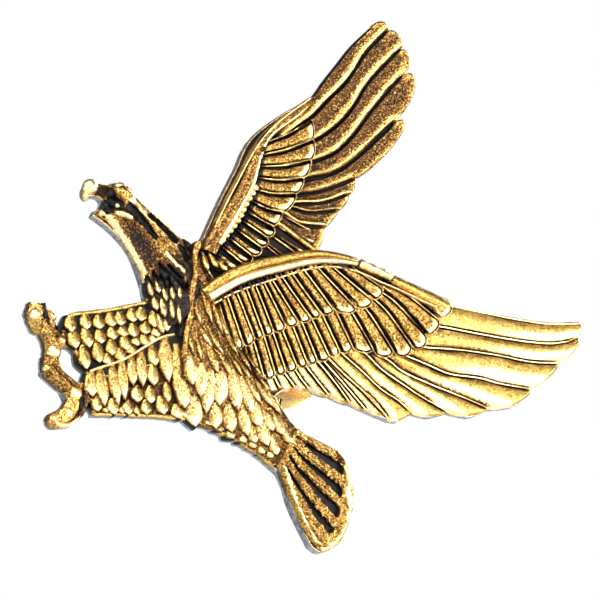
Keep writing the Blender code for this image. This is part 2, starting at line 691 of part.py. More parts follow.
def main():
    for thing in list(bpy.data.objects):
        bpy.data.objects.remove(thing)
    gold = material("antique_gold_casting", (0.55, 0.38, 0.13), 1.0, 0.38)
    brass = material("brass_clutch", (0.80, 0.58, 0.24), 1.0, 0.22)
    steel = material("plated_pin", (0.72, 0.62, 0.40), 1.0, 0.28)
    solder = material("solder", (0.55, 0.55, 0.56), 1.0, 0.45)
    eagle_casting(gold)
    for where, place in DRAWN_PINS.items():
        fastener(where, place, CLUTCH_TURNS[where], brass, steel, solder)


main()
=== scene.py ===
# %% [markdown]
# # A cast eagle cap badge
# The badge is one zinc casting plated in gold and darkened in its hollows, with two nails soldered to
# its flat back and a brass butterfly clutch on each nail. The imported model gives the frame: where the
# back, the pins and the clutches are. This script makes the fine relief and the finishes on that frame.

# %% Load the frame
import json
import math

import bpy
import numpy as np
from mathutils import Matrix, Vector, noise

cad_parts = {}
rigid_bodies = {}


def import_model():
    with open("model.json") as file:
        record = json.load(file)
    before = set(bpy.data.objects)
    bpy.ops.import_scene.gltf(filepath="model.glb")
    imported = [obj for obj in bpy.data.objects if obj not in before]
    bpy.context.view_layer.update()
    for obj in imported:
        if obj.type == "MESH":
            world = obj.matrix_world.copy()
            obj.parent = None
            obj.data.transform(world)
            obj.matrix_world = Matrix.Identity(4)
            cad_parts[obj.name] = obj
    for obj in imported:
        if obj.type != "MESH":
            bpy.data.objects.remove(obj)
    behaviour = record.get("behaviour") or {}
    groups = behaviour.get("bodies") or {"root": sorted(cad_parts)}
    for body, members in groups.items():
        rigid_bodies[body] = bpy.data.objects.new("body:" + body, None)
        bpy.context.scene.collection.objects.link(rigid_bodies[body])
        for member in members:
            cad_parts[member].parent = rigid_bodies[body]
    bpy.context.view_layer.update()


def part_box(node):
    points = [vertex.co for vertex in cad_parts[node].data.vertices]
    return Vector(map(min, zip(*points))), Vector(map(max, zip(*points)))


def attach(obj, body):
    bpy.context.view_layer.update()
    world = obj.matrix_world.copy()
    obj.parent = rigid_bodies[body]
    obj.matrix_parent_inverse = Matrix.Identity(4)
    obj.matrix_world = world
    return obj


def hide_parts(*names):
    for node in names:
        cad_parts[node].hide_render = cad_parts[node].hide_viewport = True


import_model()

# %% [markdown]
# ## Places on the eagle
# The relief is drawn flat, as a die sinker draws it: a place is (across, up) in millimetres from the
# middle of the back, and a front is how far the metal stands in front of that back. The casting's own
# box gives the scale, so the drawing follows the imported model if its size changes.
# The lines could be placed straight in space, but a flat drawing is easier to read and to move.

# %% The drawing's scale
MM = 0.001
DRAWN_WIDTH, DRAWN_HEIGHT = 70.3, 65.4
casting_low, casting_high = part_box("eagle_casting")
ACROSS = (casting_high[0] - casting_low[0]) / DRAWN_WIDTH
UP = (casting_high[2] - casting_low[2]) / DRAWN_HEIGHT
print(f"one drawn millimetre is {ACROSS * 1000:.3f} mm across and {UP * 1000:.3f} mm up")


def in_space(places, fronts):
    """Drawn places and their fronts as points in metres."""
    places = np.asarray(places, float)
    fronts = np.broadcast_to(fronts, places.shape[:-1])
    return np.stack([places[..., 0] * ACROSS, -fronts * MM, places[..., 1] * UP], axis=-1)


def flow(points, count):
    """A smooth line through the points, as evenly spaced places."""
    points = np.asarray(points, float)
    if len(points) == 2:
        return points[0] + (points[1] - points[0]) * np.linspace(0, 1, count)[:, None]
    ends = np.vstack([2 * points[0] - points[1], points, 2 * points[-1] - points[-2]])
    fine = []
    for a, b, c, d in zip(ends, ends[1:], ends[2:], ends[3:]):
        for t in np.linspace(0, 1, 12, endpoint=False):
            fine.append(0.5 * (2 * b + (c - a) * t + (2 * a - 5 * b + 4 * c - d) * t**2
                               + (3 * b - a - 3 * c + d) * t**3))
    fine = np.vstack([fine, points[-1]])
    run = np.concatenate([[0], np.cumsum(np.linalg.norm(np.diff(fine, axis=0), axis=1))])
    steps = np.linspace(0, run[-1], count)
    return np.stack([np.interp(steps, run, fine[:, axis]) for axis in (0, 1)], axis=1)


def outline(*runs):
    """Smooth runs joined into one closed outline, with a corner where two runs meet."""
    closed = []
    for run in runs:
        closed.extend(flow(run, 3 * len(run) - 2)[:-1])
    return np.array(closed)


def ease(value, start, end):
    """A soft step from 0 at start to 1 at end."""
    t = np.clip((value - start) / (end - start), 0, 1)
    return t * t * (3 - 2 * t)


# %% [markdown]
# ## Working like a hand at the bench
# An operator works on whatever is selected, so each step starts by picking one object and nothing else.
# What the finish has to know about a vertex, such as how hollow it lies, is kept on the mesh as a mark.

# %% Selecting, joining and finishing
def pick(*things):
    for other in bpy.context.view_layer.objects:
        other.select_set(False)
    for thing in things:
        thing.select_set(True)
    bpy.context.view_layer.objects.active = things[0]
    return things[0]


def edit(thing):
    pick(thing)
    bpy.ops.object.mode_set(mode="EDIT")
    bpy.ops.mesh.select_all(action="SELECT")


def close_up():
    """Faces every closed mesh outward, and leaves edit mode."""
    bpy.ops.mesh.select_all(action="SELECT")
    bpy.ops.mesh.normals_make_consistent(inside=False)
    bpy.ops.object.mode_set(mode="OBJECT")


def join(name, things):
    """One mesh of several closed ones, every one of them facing outward."""
    joined = pick(*things)
    if len(things) > 1:
        bpy.ops.object.join()
    joined.name = joined.data.name = name
    edit(joined)
    close_up()
    return joined


def apply_modifier(thing, kind, **settings):
    pick(thing)
    step = thing.modifiers.new(kind.title(), kind)
    for setting, value in settings.items():
        setattr(step, setting, value)
    bpy.ops.object.modifier_apply(modifier=step.name)


def points_of(mesh):
    flat = np.empty(len(mesh.vertices) * 3)
    mesh.vertices.foreach_get("co", flat)
    return flat.reshape(-1, 3)


def set_points(mesh, points):
    mesh.vertices.foreach_set("co", np.ascontiguousarray(points, dtype=np.float32).ravel())
    mesh.update()


def mark(mesh, name, values):
    """Keeps one number for each vertex, for the finish to read."""
    layer = mesh.attributes.get(name) or mesh.attributes.new(name, "FLOAT", "POINT")
    layer.data.foreach_set("value", np.broadcast_to(values, len(mesh.vertices)).astype(np.float32))


def smooth_by_angle(thing, degrees):
    pick(thing)
    bpy.ops.object.shade_smooth_by_angle(angle=math.radians(degrees))


# %% [markdown]
# ## Plates
# Under the feathers the casting is a flat plate. Its drafted wall shows all round the bird as a gunmetal
# ledge, with a thin gold line where polishing rubbed the front and back edges. A ring is set along the
# outline and extruded to the front in steps, so the rubbed edges get vertices of their own. The last ring
# lies inside the front edge: between the two the metal stays gold, and inside it the dip shows. A filled
# curve could give the same plate, but its rings could not be told apart by the finish.

# %% Cut a plate to an outline
DRAFT, EDGE, RIM_WIDTH, BACK_EDGE = 0.02, 0.08, 0.25, 0.05
RING_STEPS = (0.15, 0.67, 0.18, 0.0)
RIM_POLISH = 0.8


def plate(name, places, front, floor=0.8, back=0.0):
    """A plate with rubbed edges; floor is how hollow its face is, as the dip left it.

    Each plate's back stands a hair in front of its neighbour's, so no two backs lie in one plane."""
    count = len(places)
    bpy.ops.mesh.primitive_circle_add(vertices=count, radius=1, fill_type="NGON")
    made = bpy.context.object
    made.name = name
    signed = np.sum(places[:, 0] * np.roll(places[:, 1], -1) - np.roll(places[:, 0], -1) * places[:, 1])
    around = places if signed > 0 else places[::-1]
    ring = points_of(made.data)
    rank = np.argsort(np.argsort(np.arctan2(ring[:, 1], ring[:, 0])))
    set_points(made.data, in_space(around[rank], back))
    edit(made)
    for share in RING_STEPS:
        step = -share * (front - back) * MM
        bpy.ops.mesh.extrude_region_move(TRANSFORM_OT_translate={"value": (0, step, 0)})
    close_up()
    points = points_of(made.data)
    inward = np.roll(around, -1, 0) - np.roll(around, 1, 0)
    inward = np.stack([-inward[:, 1], inward[:, 0]], 1)
    inward = inward / np.maximum(np.linalg.norm(inward, axis=1), 1e-9)[:, None]
    level = np.arange(len(points)) // count
    shift = np.array([BACK_EDGE, 0.0, DRAFT, DRAFT + EDGE, DRAFT + EDGE + RIM_WIDTH])[level]
    which = rank[np.arange(len(points)) % count]
    points[:, [0, 2]] += inward[which] * shift[:, None] * MM
    set_points(made.data, points)
    mark(made.data, "hollow", np.where(level == 4, floor, 0.0))
    mark(made.data, "wall", np.where((level == 1) | (level == 2), 1.0, 0.0))
    mark(made.data, "polish", np.where((level == 0) | (level == 3), RIM_POLISH, 0.0))
    return made


# %% [markdown]
# ## Blanks
# A wing feather is always the same thing at another size: a raised panel between two thin beads, a dark
# groove beside it and a round end. A die sinker cuts them all with a few punches. Here a flat grid is
# extruded once into a blank, and every feather is a copy of it laid between two edge lines. The lines of
# the mesh stand close together along the edges and the tip, where the thin beads are. Feathers could be
# sculpted or pushed out of one big sheet instead, but copies of a closed blank keep crisp, separate edges.

# %% Model the blanks
def make_blank(name, along, across):
    bpy.ops.mesh.primitive_grid_add(x_subdivisions=along - 1, y_subdivisions=across - 1, size=2)
    made = bpy.context.object
    made.name = name
    edit(made)
    bpy.ops.mesh.extrude_region_move(TRANSFORM_OT_translate={"value": (0, 0, -1)})
    bpy.ops.mesh.dissolve_faces()
    close_up()
    points = points_of(made.data)
    return {
        "mesh": made.data,
        "step": np.round((points[:, 0] + 1) / 2 * (along - 1)).astype(int),
        "line": np.round((points[:, 1] + 1) / 2 * (across - 1)).astype(int),
        "foot": points[:, 2] < -0.5,
        "along": along,
        "across": across,
    }


FEATHER_BLANK = make_blank("feather_blank", 26, 17)
SCALE_BLANK = make_blank("scale_blank", 15, 13)
FORM_BLANK = make_blank("form_blank", 96, 64)
BLANKS = (FEATHER_BLANK, SCALE_BLANK, FORM_BLANK)
print("faces in the blanks:", [len(kind["mesh"].polygons) for kind in BLANKS])


# %% [markdown]
# ## Laying a blank
# The sides follow the two edge lines, and the end swells out to the tip. Each vertex then knows how far it
# is from both sides and from the end, and a profile turns those distances into a height and into how
# hollow the place is. A lattice could bend the blank too, but it would stretch the beads with the feather.

# %% Distances and spacing
FINE = np.array([0.0, 0.07, 0.14, 0.21, 0.30, 0.42])
FOOT_FRONT = 0.7


def distance_to(line, places):
    """How far each place is from a line, in millimetres."""
    line = np.asarray(line, float)
    start, run = line[:-1], np.diff(line, axis=0)
    share = ((places[:, None] - start) * run).sum(-1) / np.maximum((run**2).sum(-1), 1e-9)
    foot = start + np.clip(share, 0, 1)[..., None] * run
    return np.linalg.norm(places[:, None] - foot, axis=-1).min(1)


def spread(width, count, both_ends=True):
    """Where the mesh lines stand across a width: close together at the edges."""
    near = FINE * min(1.0, width / (3.4 * FINE[-1]))
    first = near if both_ends else near[:1]
    middle = np.linspace(first[-1], width - near[-1], count - len(first) - len(near) + 2)[1:-1]
    return np.concatenate([first, middle, width - near[::-1]]) / width


# %% Lay a blank between two edge lines
def lay(blank, first, second, tip=None, roundness=1.0, point=0.0):
    """Places of a blank's vertices between two edge lines, and their gaps to the edges and the end."""
    count = 32
    first, second = flow(first, count), flow(second, count)
    length = np.linalg.norm(np.diff((first + second) / 2, axis=0), axis=1).sum()
    width = np.linalg.norm(second - first, axis=1).mean()
    end_width = np.linalg.norm(second[-1] - first[-1])
    if tip is None:
        ahead = (first[-1] + second[-1] - first[-4] - second[-4]) / 2
        swell = ahead / np.linalg.norm(ahead) * end_width / 2 * roundness
    else:
        swell = np.asarray(tip, float) - (first[-1] + second[-1]) / 2
    whole = length + np.linalg.norm(swell)
    along = spread(whole, blank["along"], both_ends=blank is FORM_BLANK)[blank["step"]]
    across = spread(width, blank["across"])[blank["line"]]

    def at(along, across):
        steps = np.linspace(0, 1, count)
        a = np.stack([np.interp(along, steps, first[:, axis]) for axis in (0, 1)], 1)
        b = np.stack([np.interp(along, steps, second[:, axis]) for axis in (0, 1)], 1)
        round_end = np.sqrt(np.maximum(0, 1 - (2 * across - 1) ** 2))
        sharp_end = 1 - np.abs(2 * across - 1)
        bulge = round_end * (1 - point) + sharp_end * point
        start = max(0.0, 1 - 1.6 * end_width / length)
        push = np.clip((along - start) / (1 - start), 0, 1) ** 1.6
        return a + (b - a) * across[:, None] + swell * (bulge * push)[:, None]

    places = at(along, across)
    end_line = at(np.ones(33), (1 - np.cos(np.linspace(0, np.pi, 33))) / 2)
    gaps = distance_to(first, places), distance_to(second, places), distance_to(end_line, places)
    return places, gaps, along, across, width


# %% [markdown]
# ## Casting
# A laid blank becomes metal when it gets its heights and its marks. Cast zinc is never quite smooth, so a
# little low noise goes into the heights themselves. A displacement in the finish could add it, but only
# moved vertices show at the outline.

# %% Cast a piece and a row of feathers
def skin(places, size):
    """The uneven skin a casting has: soft lumps about this many millimetres across, from -1 to 1."""
    return np.array([noise.noise((across / size, up / size, size)) for across, up in places])


def cast(blank, places, front, hollow, polish=0.0, foot=FOOT_FRONT, uneven=0.035):
    """A copy of a blank with its vertices put in place, marked with how hollow and rubbed it is."""
    front = front + uneven * (skin(places, 0.45) + 0.5 * skin(places, 0.21))
    made = bpy.data.objects.new("piece", blank["mesh"].copy())
    bpy.context.scene.collection.objects.link(made)
    set_points(made.data, in_space(places, np.where(blank["foot"], foot, front)))
    mark(made.data, "hollow", np.where(blank["foot"], 0.5, hollow))
    mark(made.data, "wall", blank["foot"].astype(float))
    mark(made.data, "polish", polish)
    return made


def feather(first, second, fronts, profile, tip=None, blank=FEATHER_BLANK, polish=0.0, shade=0.8,
            foot=FOOT_FRONT, **end):
    """A feather on ground that runs from fronts[0] at its root to fronts[1] at its tip."""
    places, (one, two, last), along, across, width = lay(blank, first, second, tip, **end)
    rise, hollow, rubbed = profile(one, two, last, across, width)
    ground = fronts[0] + (fronts[1] - fronts[0]) * along if isinstance(fronts, tuple) else fronts(places)
    # Painted shade: each feather's root is darkened, as in the shadow of the row above it, by up to shade,
    # fading over half a millimetre; this painted shade goes into the hollow mark and dims the polish there.
    root_gap = distance_to([first[0], second[0]], places)
    under = shade * np.exp(-(root_gap / 0.5) ** 2)
    rubbed = np.maximum(rubbed, polish) * (1 - under)
    return cast(blank, places, ground + rise, np.clip(np.maximum(hollow, under), 0, 1), rubbed, foot)


def row(edges, fronts, profile, tips=None, swapped=False, **more):
    """Feathers side by side, each between one edge line and the next."""
    made = []
    for first, second, tip in zip(edges, edges[1:], tips or [None] * len(edges)):
        if swapped:
            first, second = second, first
        made.append(feather(first, second, fronts, profile, tip=tip, **more))
    return made


# %% [markdown]
# ## Profiles
# Four punches make the whole bird: a framed panel for the coverts, a broad vane with a thin bead for the
# near wing's flight feathers, a vane with a thick ridge on one side for the far wing's, and a small domed
# leaf for the body. A painted map could hold these heights, but a formula stays sharp at any size and gives
# the tone along with the height.

# %% Framed panel and bright vane
def framed(groove=0.50, slim=0.13, bead=0.11, depth=0.30, height=0.36, dome=0.12, wide_first=True,
           stain=0.16):
    """A raised panel in a thin bead, with the wide dark groove on one side."""

    def profile(one, two, last, across, width):
        wide_gap, slim_gap = (one, two) if wide_first else (two, one)
        share = min(1.0, width / 1.6)
        wide = ease(wide_gap, bead + 0.45 * groove * share, bead + groove * share)
        thin = ease(np.minimum(slim_gap, last), bead + 0.3 * slim, bead + 1.5 * slim)
        panel = np.minimum(wide, thin)
        ridge = 1 - ease(np.minimum(np.minimum(one, two), last), 0.6 * bead, 1.5 * bead)
        crown = dome * np.sin(np.pi * across) + 0.10 * np.exp(-((last - 0.5) / 0.35) ** 2)
        rise = panel * (0.75 * height + crown) + (1 - panel) * (ridge * height - (1 - ridge) * depth)
        tip = panel * np.exp(-((last - 0.45) / 0.38) ** 2)
        dark = np.maximum((1 - panel) * (1 - ridge), stain * panel * (1 - tip))
        return rise, dark, np.maximum(0.4 * ridge, 0.85 * tip)

    return profile


def vaned(groove=0.16, bead=0.11, depth=0.16, height=0.20, dome=0.30):
    """A broad, bright, gently domed vane with a thin bead and a thin dark line beside it."""

    def profile(one, two, last, across, width):
        nearest = np.minimum(one, two)
        panel = np.minimum(ease(nearest, bead + 0.3 * groove, bead + 1.3 * groove), ease(last, 0.0, 0.25))
        ridge = 1 - ease(nearest, 0.6 * bead, 1.5 * bead)
        crown = dome * np.sin(np.pi * across) ** 0.8
        rise = panel * (0.5 * height + crown) + (1 - panel) * (ridge * height - (1 - ridge) * depth)
        # Painted sheen: the vane is lighter toward its second edge and toward its end, where a highlight
        # would fall; it goes into the polish mark along with the real rubbing of the bead.
        painted_sheen = (0.15 + 0.85 * ease(across, 0.25, 0.8)) * np.exp(-(last / 11) ** 2)
        return rise, (1 - panel) * (1 - ridge) * ease(last, 0.1, 0.4), np.maximum(ridge, painted_sheen)

    return profile


# %% Ridged vane and leaf
def ridged(ridge=0.55, groove=0.26, depth=0.42, height=0.32, slope=0.05):
    """A hollow brown vane with a thick bright ridge along its second side."""

    def profile(one, two, last, across, width):
        share = min(1.0, width / 2.0)
        start = ease(one, 0.02, 0.10 + 0.4 * groove * share)
        finish = ease(two, 0.35 * groove * share, 1.25 * groove * share)
        middle = groove * share * 1.25 + ridge * share * 0.45
        crest = np.exp(-np.abs((two - middle) / (ridge * share * 0.55)) ** 2.6)
        end = 0.75 * np.exp(-((last - 0.25) / 0.24) ** 2)
        body = np.minimum(start, finish)
        rise = body * (slope + height * np.maximum(crest, end)) - depth * (1 - body)
        lip = ease(last, 0.0, 0.16)
        proud = np.maximum(crest, end)
        dark = (1 - body) * ease(last, 0.25, 0.6) + 0.37 * body * (1 - proud)
        return rise * lip, dark, 0.5 * proud

    return profile


def leaf(rim=0.10, dome=0.42, depth=0.38, groove=0.20, brown=0.13):
    """A small domed body feather inside a dark line."""

    def profile(one, two, last, across, width):
        nearest = np.minimum(np.minimum(one, two), last)
        body = ease(nearest, 0.2 * groove, groove + rim)
        crown = dome * np.sin(np.pi * across) ** 0.9
        crest = body * np.sin(np.pi * across) ** 3 * np.exp(-(last / (0.7 * width)) ** 2)
        dark = np.maximum(1 - ease(nearest, 0.3 * groove, 1.3 * groove), brown * (1 - crest))
        return body * crown - depth * (1 - body), dark, crest

    return profile


# %% [markdown]
# ## The far wing
# Five long primaries fan out behind an arm, then four shorter feathers, then coverts over their roots.
# Every primary is a hollow brown vane with a thick bright ridge along its trailing side. The edge lines are
# shared: each feather's lower edge is the next one's upper edge, so no gap opens between them.

# %% Far wing plate and primaries
FAR_WING = outline(
    [(-9.9, 6.4), (-7.9, 10.8), (-5.8, 14.9), (-4.7, 17.5), (-3.0, 19.5), (0.1, 21.8), (3.7, 23.9)],
    [(3.7, 23.9), (5.0, 25.6), (6.8, 27.9), (8.9, 30.4), (11.2, 32.7)],
    [(11.2, 32.7), (12.4, 33.4), (13.3, 32.6)],
    [(13.3, 32.6), (14.6, 32.0), (14.9, 30.4)],
    [(14.9, 30.4), (16.0, 29.0), (15.1, 27.1)],
    [(15.1, 27.1), (16.8, 25.6), (13.8, 21.3)],
    [(13.8, 21.3), (14.7, 19.6), (11.9, 16.1), (9.1, 14.0)],
    [(9.1, 14.0), (8.9, 13.0), (8.4, 12.4)],
    [(8.4, 12.4), (7.9, 11.2), (7.0, 10.3)],
    [(7.0, 10.3), (6.0, 9.0), (5.2, 8.0)],
    [(5.2, 8.0), (4.4, 6.6), (3.9, 4.4)],
    [(3.9, 4.4), (-1.4, 1.5), (-9.5, -2.5), (-11.2, 4.0), (-9.9, 6.4)],
)
FAR_EDGES = [
    [(-1.9, 19.7), (0.7, 21.9), (3.6, 23.9), (4.9, 25.7), (6.7, 28.0), (8.7, 30.5), (11.1, 32.8)],
    [(-0.5, 18.0), (1.5, 19.8), (3.6, 21.4), (5.6, 23.5), (7.7, 25.6), (9.1, 27.5), (10.4, 29.6),
     (13.1, 32.4)],
    [(-0.5, 16.4), (2.2, 17.6), (4.8, 19.0), (7.0, 20.7), (8.9, 23.0), (10.4, 25.5), (12.2, 27.6),
     (14.7, 30.2)],
    [(-1.0, 14.8), (1.8, 15.3), (4.3, 16.1), (6.6, 17.2), (8.9, 19.5), (10.8, 22.1), (12.7, 24.4),
     (14.9, 27.0)],
    [(-1.5, 12.8), (1.0, 13.2), (3.3, 13.8), (6.0, 14.5), (8.3, 15.9), (10.8, 18.1), (12.9, 20.2),
     (13.8, 21.3)],
    [(-2.5, 11.2), (-0.5, 11.4), (1.6, 11.7), (4.1, 12.2), (6.2, 12.9), (9.0, 14.1)],
    [(-2.6, 10.4), (0.0, 10.5), (2.0, 10.7), (5.0, 11.0), (8.2, 12.2)],
    [(-2.6, 10.0), (-0.6, 10.3), (0.8, 10.2), (3.3, 9.7), (6.9, 10.2)],
    [(-2.6, 9.7), (-1.4, 9.6), (0.0, 9.2), (1.8, 8.2), (5.1, 8.0)],
    [(-2.6, 8.6), (-0.7, 7.7), (1.2, 6.4), (3.8, 4.6)],
]
FAR_TIPS = [(12.5, 33.5), (14.7, 31.8), (15.9, 29.0), (16.6, 25.6), (14.5, 19.3), (8.9, 12.9), (7.8, 11.0),
            (6.1, 8.9), (4.7, 6.0)]
far_wing = [plate("far_wing_plate", FAR_WING, back=0.02, front=1.75)]
far_wing += row(FAR_EDGES, (2.3, 2.0), ridged(), FAR_TIPS, polish=0.35)
print("far primaries:", len(far_wing) - 1)

# %% Far wing coverts
FAR_COVERT_TIPS = [(3.7, 19.8), (3.8, 17.2), (3.1, 14.8), (2.2, 12.8), (0.9, 10.4), (-0.8, 8.3)]
FAR_COVERT_NOTCHES = [(3.3, 21.0), (3.5, 18.6), (3.2, 16.1), (2.3, 13.9), (1.4, 11.9), (-0.3, 9.6),
                      (-1.6, 8.0)]
FAR_COVERT_ROOTS = [(-2.6, 17.9), (-3.1, 16.4), (-3.2, 15.0), (-3.4, 13.6), (-3.8, 12.2), (-4.2, 10.8),
                    (-4.6, 9.6)]
covert_lines = [[root, ((root[0] + end[0]) / 2, (root[1] + end[1]) / 2 - 0.25), end]
                for root, end in zip(FAR_COVERT_ROOTS, FAR_COVERT_NOTCHES)]
far_covert = framed(groove=0.36, depth=0.4, dome=0.2, stain=0.22)
far_wing += row(covert_lines, (2.8, 2.5), far_covert, FAR_COVERT_TIPS)

LOWER_COVERTS = [
    [(-4.7, 9.4), (-1.6, 8.0)], [(-5.3, 8.3), (-2.3, 6.6)], [(-6.0, 7.2), (-3.1, 5.4)],
    [(-6.9, 6.1), (-4.2, 4.3)], [(-7.8, 5.0), (-5.4, 3.4)], [(-8.6, 3.8), (-6.8, 2.4)],
]
far_wing += row(LOWER_COVERTS, (2.8, 2.3), framed(groove=0.75, depth=0.5, stain=0.26), shade=1.0)
RADIATING = [
    [(-0.3, 9.4), (4.2, 7.3)], [(-1.0, 8.1), (3.3, 5.9)], [(-1.7, 6.9), (2.0, 4.6)],
    [(-2.6, 5.8), (0.4, 3.6)],
]
radiating = framed(groove=0.95, slim=0.2, depth=0.4, stain=0.26)
far_wing += row(RADIATING, (2.0, 1.7), radiating, shade=1.0)


# %% [markdown]
# ## Rods and beads
# The arm bones, the shoulder seam and the little row of teeth along the far arm stand proud of the
# feathers. A rod is a swept half-round bar that tapers; a knob is a ball set halfway into the metal. A
# bevelled curve could be the rod, but a blank laid on both sides of the line also carries the marks.

# %% Rods and knobs
def rod(points, width, front, height, taper=(1.0, 1.0), polish=0.0, hollow=0.0, lumps=0.0,
        uneven=0.035):
    """A rounded bar along a line, standing on the given front."""
    count = 24
    line = flow(points, count)
    ahead = np.gradient(line, axis=0)
    side = np.stack([-ahead[:, 1], ahead[:, 0]], 1) / np.linalg.norm(ahead, axis=1)[:, None]
    share = np.linspace(0, 1, count)
    half = width / 2 * (taper[0] + (taper[1] - taper[0]) * share)
    half = half * (1 + lumps * np.sin(share * 37.0) * np.cos(share * 17.0))
    first, second = line + side * half[:, None], line - side * half[:, None]
    places, gaps, along, across, _ = lay(FEATHER_BLANK, first, second)
    ground = front[0] + (front[1] - front[0]) * along if isinstance(front, tuple) else front
    crown = np.sqrt(np.maximum(0, 1 - (2 * across - 1) ** 2)) * height
    crown = crown * np.sqrt(np.clip(gaps[2] / (0.5 * width), 0, 1))
    crown = crown * (1 + lumps * np.sin(along * 61.0))
    return cast(FEATHER_BLANK, places, ground + crown, hollow, polish, uneven=uneven)


def knob(place, radius, front, height=None, polish=0.5, hollow=0.0):
    bpy.ops.mesh.primitive_uv_sphere_add(segments=24, ring_count=14, radius=1)
    made = bpy.context.object
    points = points_of(made.data)[:, [0, 2, 1]]
    points = points * [radius, height or radius, radius]
    set_points(made.data, in_space(place + points[:, [0, 2]], front - points[:, 1]))
    mark(made.data, "hollow", hollow)
    mark(made.data, "wall", 0.0)
    mark(made.data, "polish", polish)
    return made


# %% Far arm
FAR_SHOULDER = [(-9.9, 6.4), (-7.9, 10.8), (-5.8, 14.9), (-4.7, 17.5), (-3.0, 19.5), (0.1, 21.8)]
FAR_ARM_EDGE = [
    (-9.4, 6.0), (-7.6, 9.8), (-5.2, 14.4), (-4.3, 16.1), (-3.0, 18.1), (-1.5, 19.9), (0.9, 21.9),
]
FAR_ARM = [
    (-9.4, 4.4), (-8.6, 6.3), (-6.3, 10.1), (-5.0, 12.4), (-3.4, 16.4), (-1.9, 19.0), (1.3, 21.7),
    (3.0, 23.2),
]
FAR_ARM_INSIDE = [
    (-8.2, 5.4), (-6.4, 8.4), (-5.1, 10.7), (-4.0, 12.7), (-2.9, 16.6), (-1.7, 18.9), (1.7, 21.5),
    (3.0, 22.8),
]
places, _, _, across, _ = lay(FEATHER_BLANK, FAR_SHOULDER, FAR_ARM_EDGE, roundness=0.0)
flank = cast(FEATHER_BLANK, places, 0.4 + 2.1 * ease(across, 0.0, 1.0), 0.0, foot=0.2)
mark(flank.data, "wall", 0.45)
mark(flank.data, "polish", 0.35)
far_wing.append(flank)
far_wing.append(rod(FAR_ARM, 2.1, (2.6, 2.3), 0.70, taper=(1.0, 0.35), hollow=0.30, lumps=0.05))
far_wing.append(rod(FAR_ARM_EDGE + [(3.2, 23.6)], 0.30, 2.6, 0.4, polish=0.5))
far_wing.append(rod(FAR_ARM_INSIDE, 0.65, (3.0, 2.5), 0.45, taper=(1.0, 0.5), polish=0.6, lumps=0.05))
for place in flow([(-7.8, 5.9), (-6.0, 8.2), (-4.8, 10.5), (-3.7, 12.4)], 11):
    far_wing.append(knob(place, 0.40, 3.0, 0.50, polish=0.6))
print("far wing pieces:", len(far_wing))

# %% [markdown]
# ## The near wing
# The near wing lies over the body and is the brightest part of the bird: seven long flight feathers with
# broad domed vanes and seven shorter ones, a middle row and a shoulder row of framed coverts, and the
# arm along the top edge. It is made like the far wing, from edge lines that neighbours share, and each row
# stands a little more to the front than the row it covers.

# %% Near wing plate and flight feathers
NEAR_WING = outline(
    [(-10.0, -0.4), (-7.8, 1.5), (-1.4, 3.8), (4.4, 4.9), (8.8, 4.3), (13.4, 2.7), (20.6, -0.4)],
    [(20.6, -0.5), (27.6, -1.8), (33.0, -2.4), (37.2, -2.1), (37.7, -3.0), (36.9, -4.0)],
    [(36.9, -4.0), (36.9, -5.6), (34.4, -7.1)],
    [(34.4, -7.1), (33.7, -8.8), (30.9, -10.6)],
    [(30.9, -10.6), (29.2, -12.7), (25.6, -13.3)],
    [(25.6, -13.3), (23.4, -14.3), (20.6, -13.8)],
    [(20.6, -13.8), (18.3, -14.5), (15.9, -14.0)],
    [(15.9, -14.0), (14.2, -15.2), (11.7, -14.5), (7.3, -12.8), (2.8, -11.5), (0.6, -11.6), (-1.2, -12.8)],
    [(-1.2, -12.8), (-7.0, -12.0), (-11.0, -6.0), (-10.0, -0.4)],
)
FLIGHT_EDGES = [
    [(18.8, -0.9), (22.5, -1.1), (27.6, -2.0), (33.0, -2.55), (37.1, -2.3)],
    [(18.5, -3.4), (20.2, -3.6), (24.4, -4.2), (29.4, -4.8), (33.2, -5.0), (35.7, -4.6), (36.7, -4.1)],
    [(16.0, -6.0), (17.9, -6.1), (21.9, -6.2), (26.9, -6.7), (30.7, -7.3), (34.3, -7.3)],
    [(13.6, -6.8), (15.7, -7.4), (18.2, -8.3), (20.7, -9.2), (24.4, -9.5), (26.9, -10.1), (30.8, -10.6)],
    [(11.0, -7.0), (12.9, -7.8), (14.7, -9.1), (18.2, -10.5), (21.4, -11.6), (25.5, -13.1)],
    [(8.6, -6.2), (10.1, -7.1), (11.9, -8.8), (14.7, -10.6), (17.4, -12.2), (20.5, -13.7)],
    [(6.6, -6.8), (7.7, -7.7), (9.7, -9.3), (11.9, -11.2), (14.2, -12.6), (16.0, -13.9)],
    [(4.8, -7.1), (5.6, -8.0), (7.7, -9.9), (9.7, -11.5), (11.2, -12.7), (12.9, -14.7)],
]
FLIGHT_TIPS = [
    (37.5, -3.1), (36.7, -5.6), (33.4, -9.0), (29.0, -12.5), (23.2, -14.1), (18.2, -14.4), (14.3, -15.0),
]
near_wing = [plate("near_wing_plate", NEAR_WING, 2.05)]
# Part of the flight feathers' brightness is the painted sheen that vaned() lays on their vanes.
near_wing += row(FLIGHT_EDGES, (2.7, 2.2), vaned(), FLIGHT_TIPS, polish=0.1, shade=0.6)

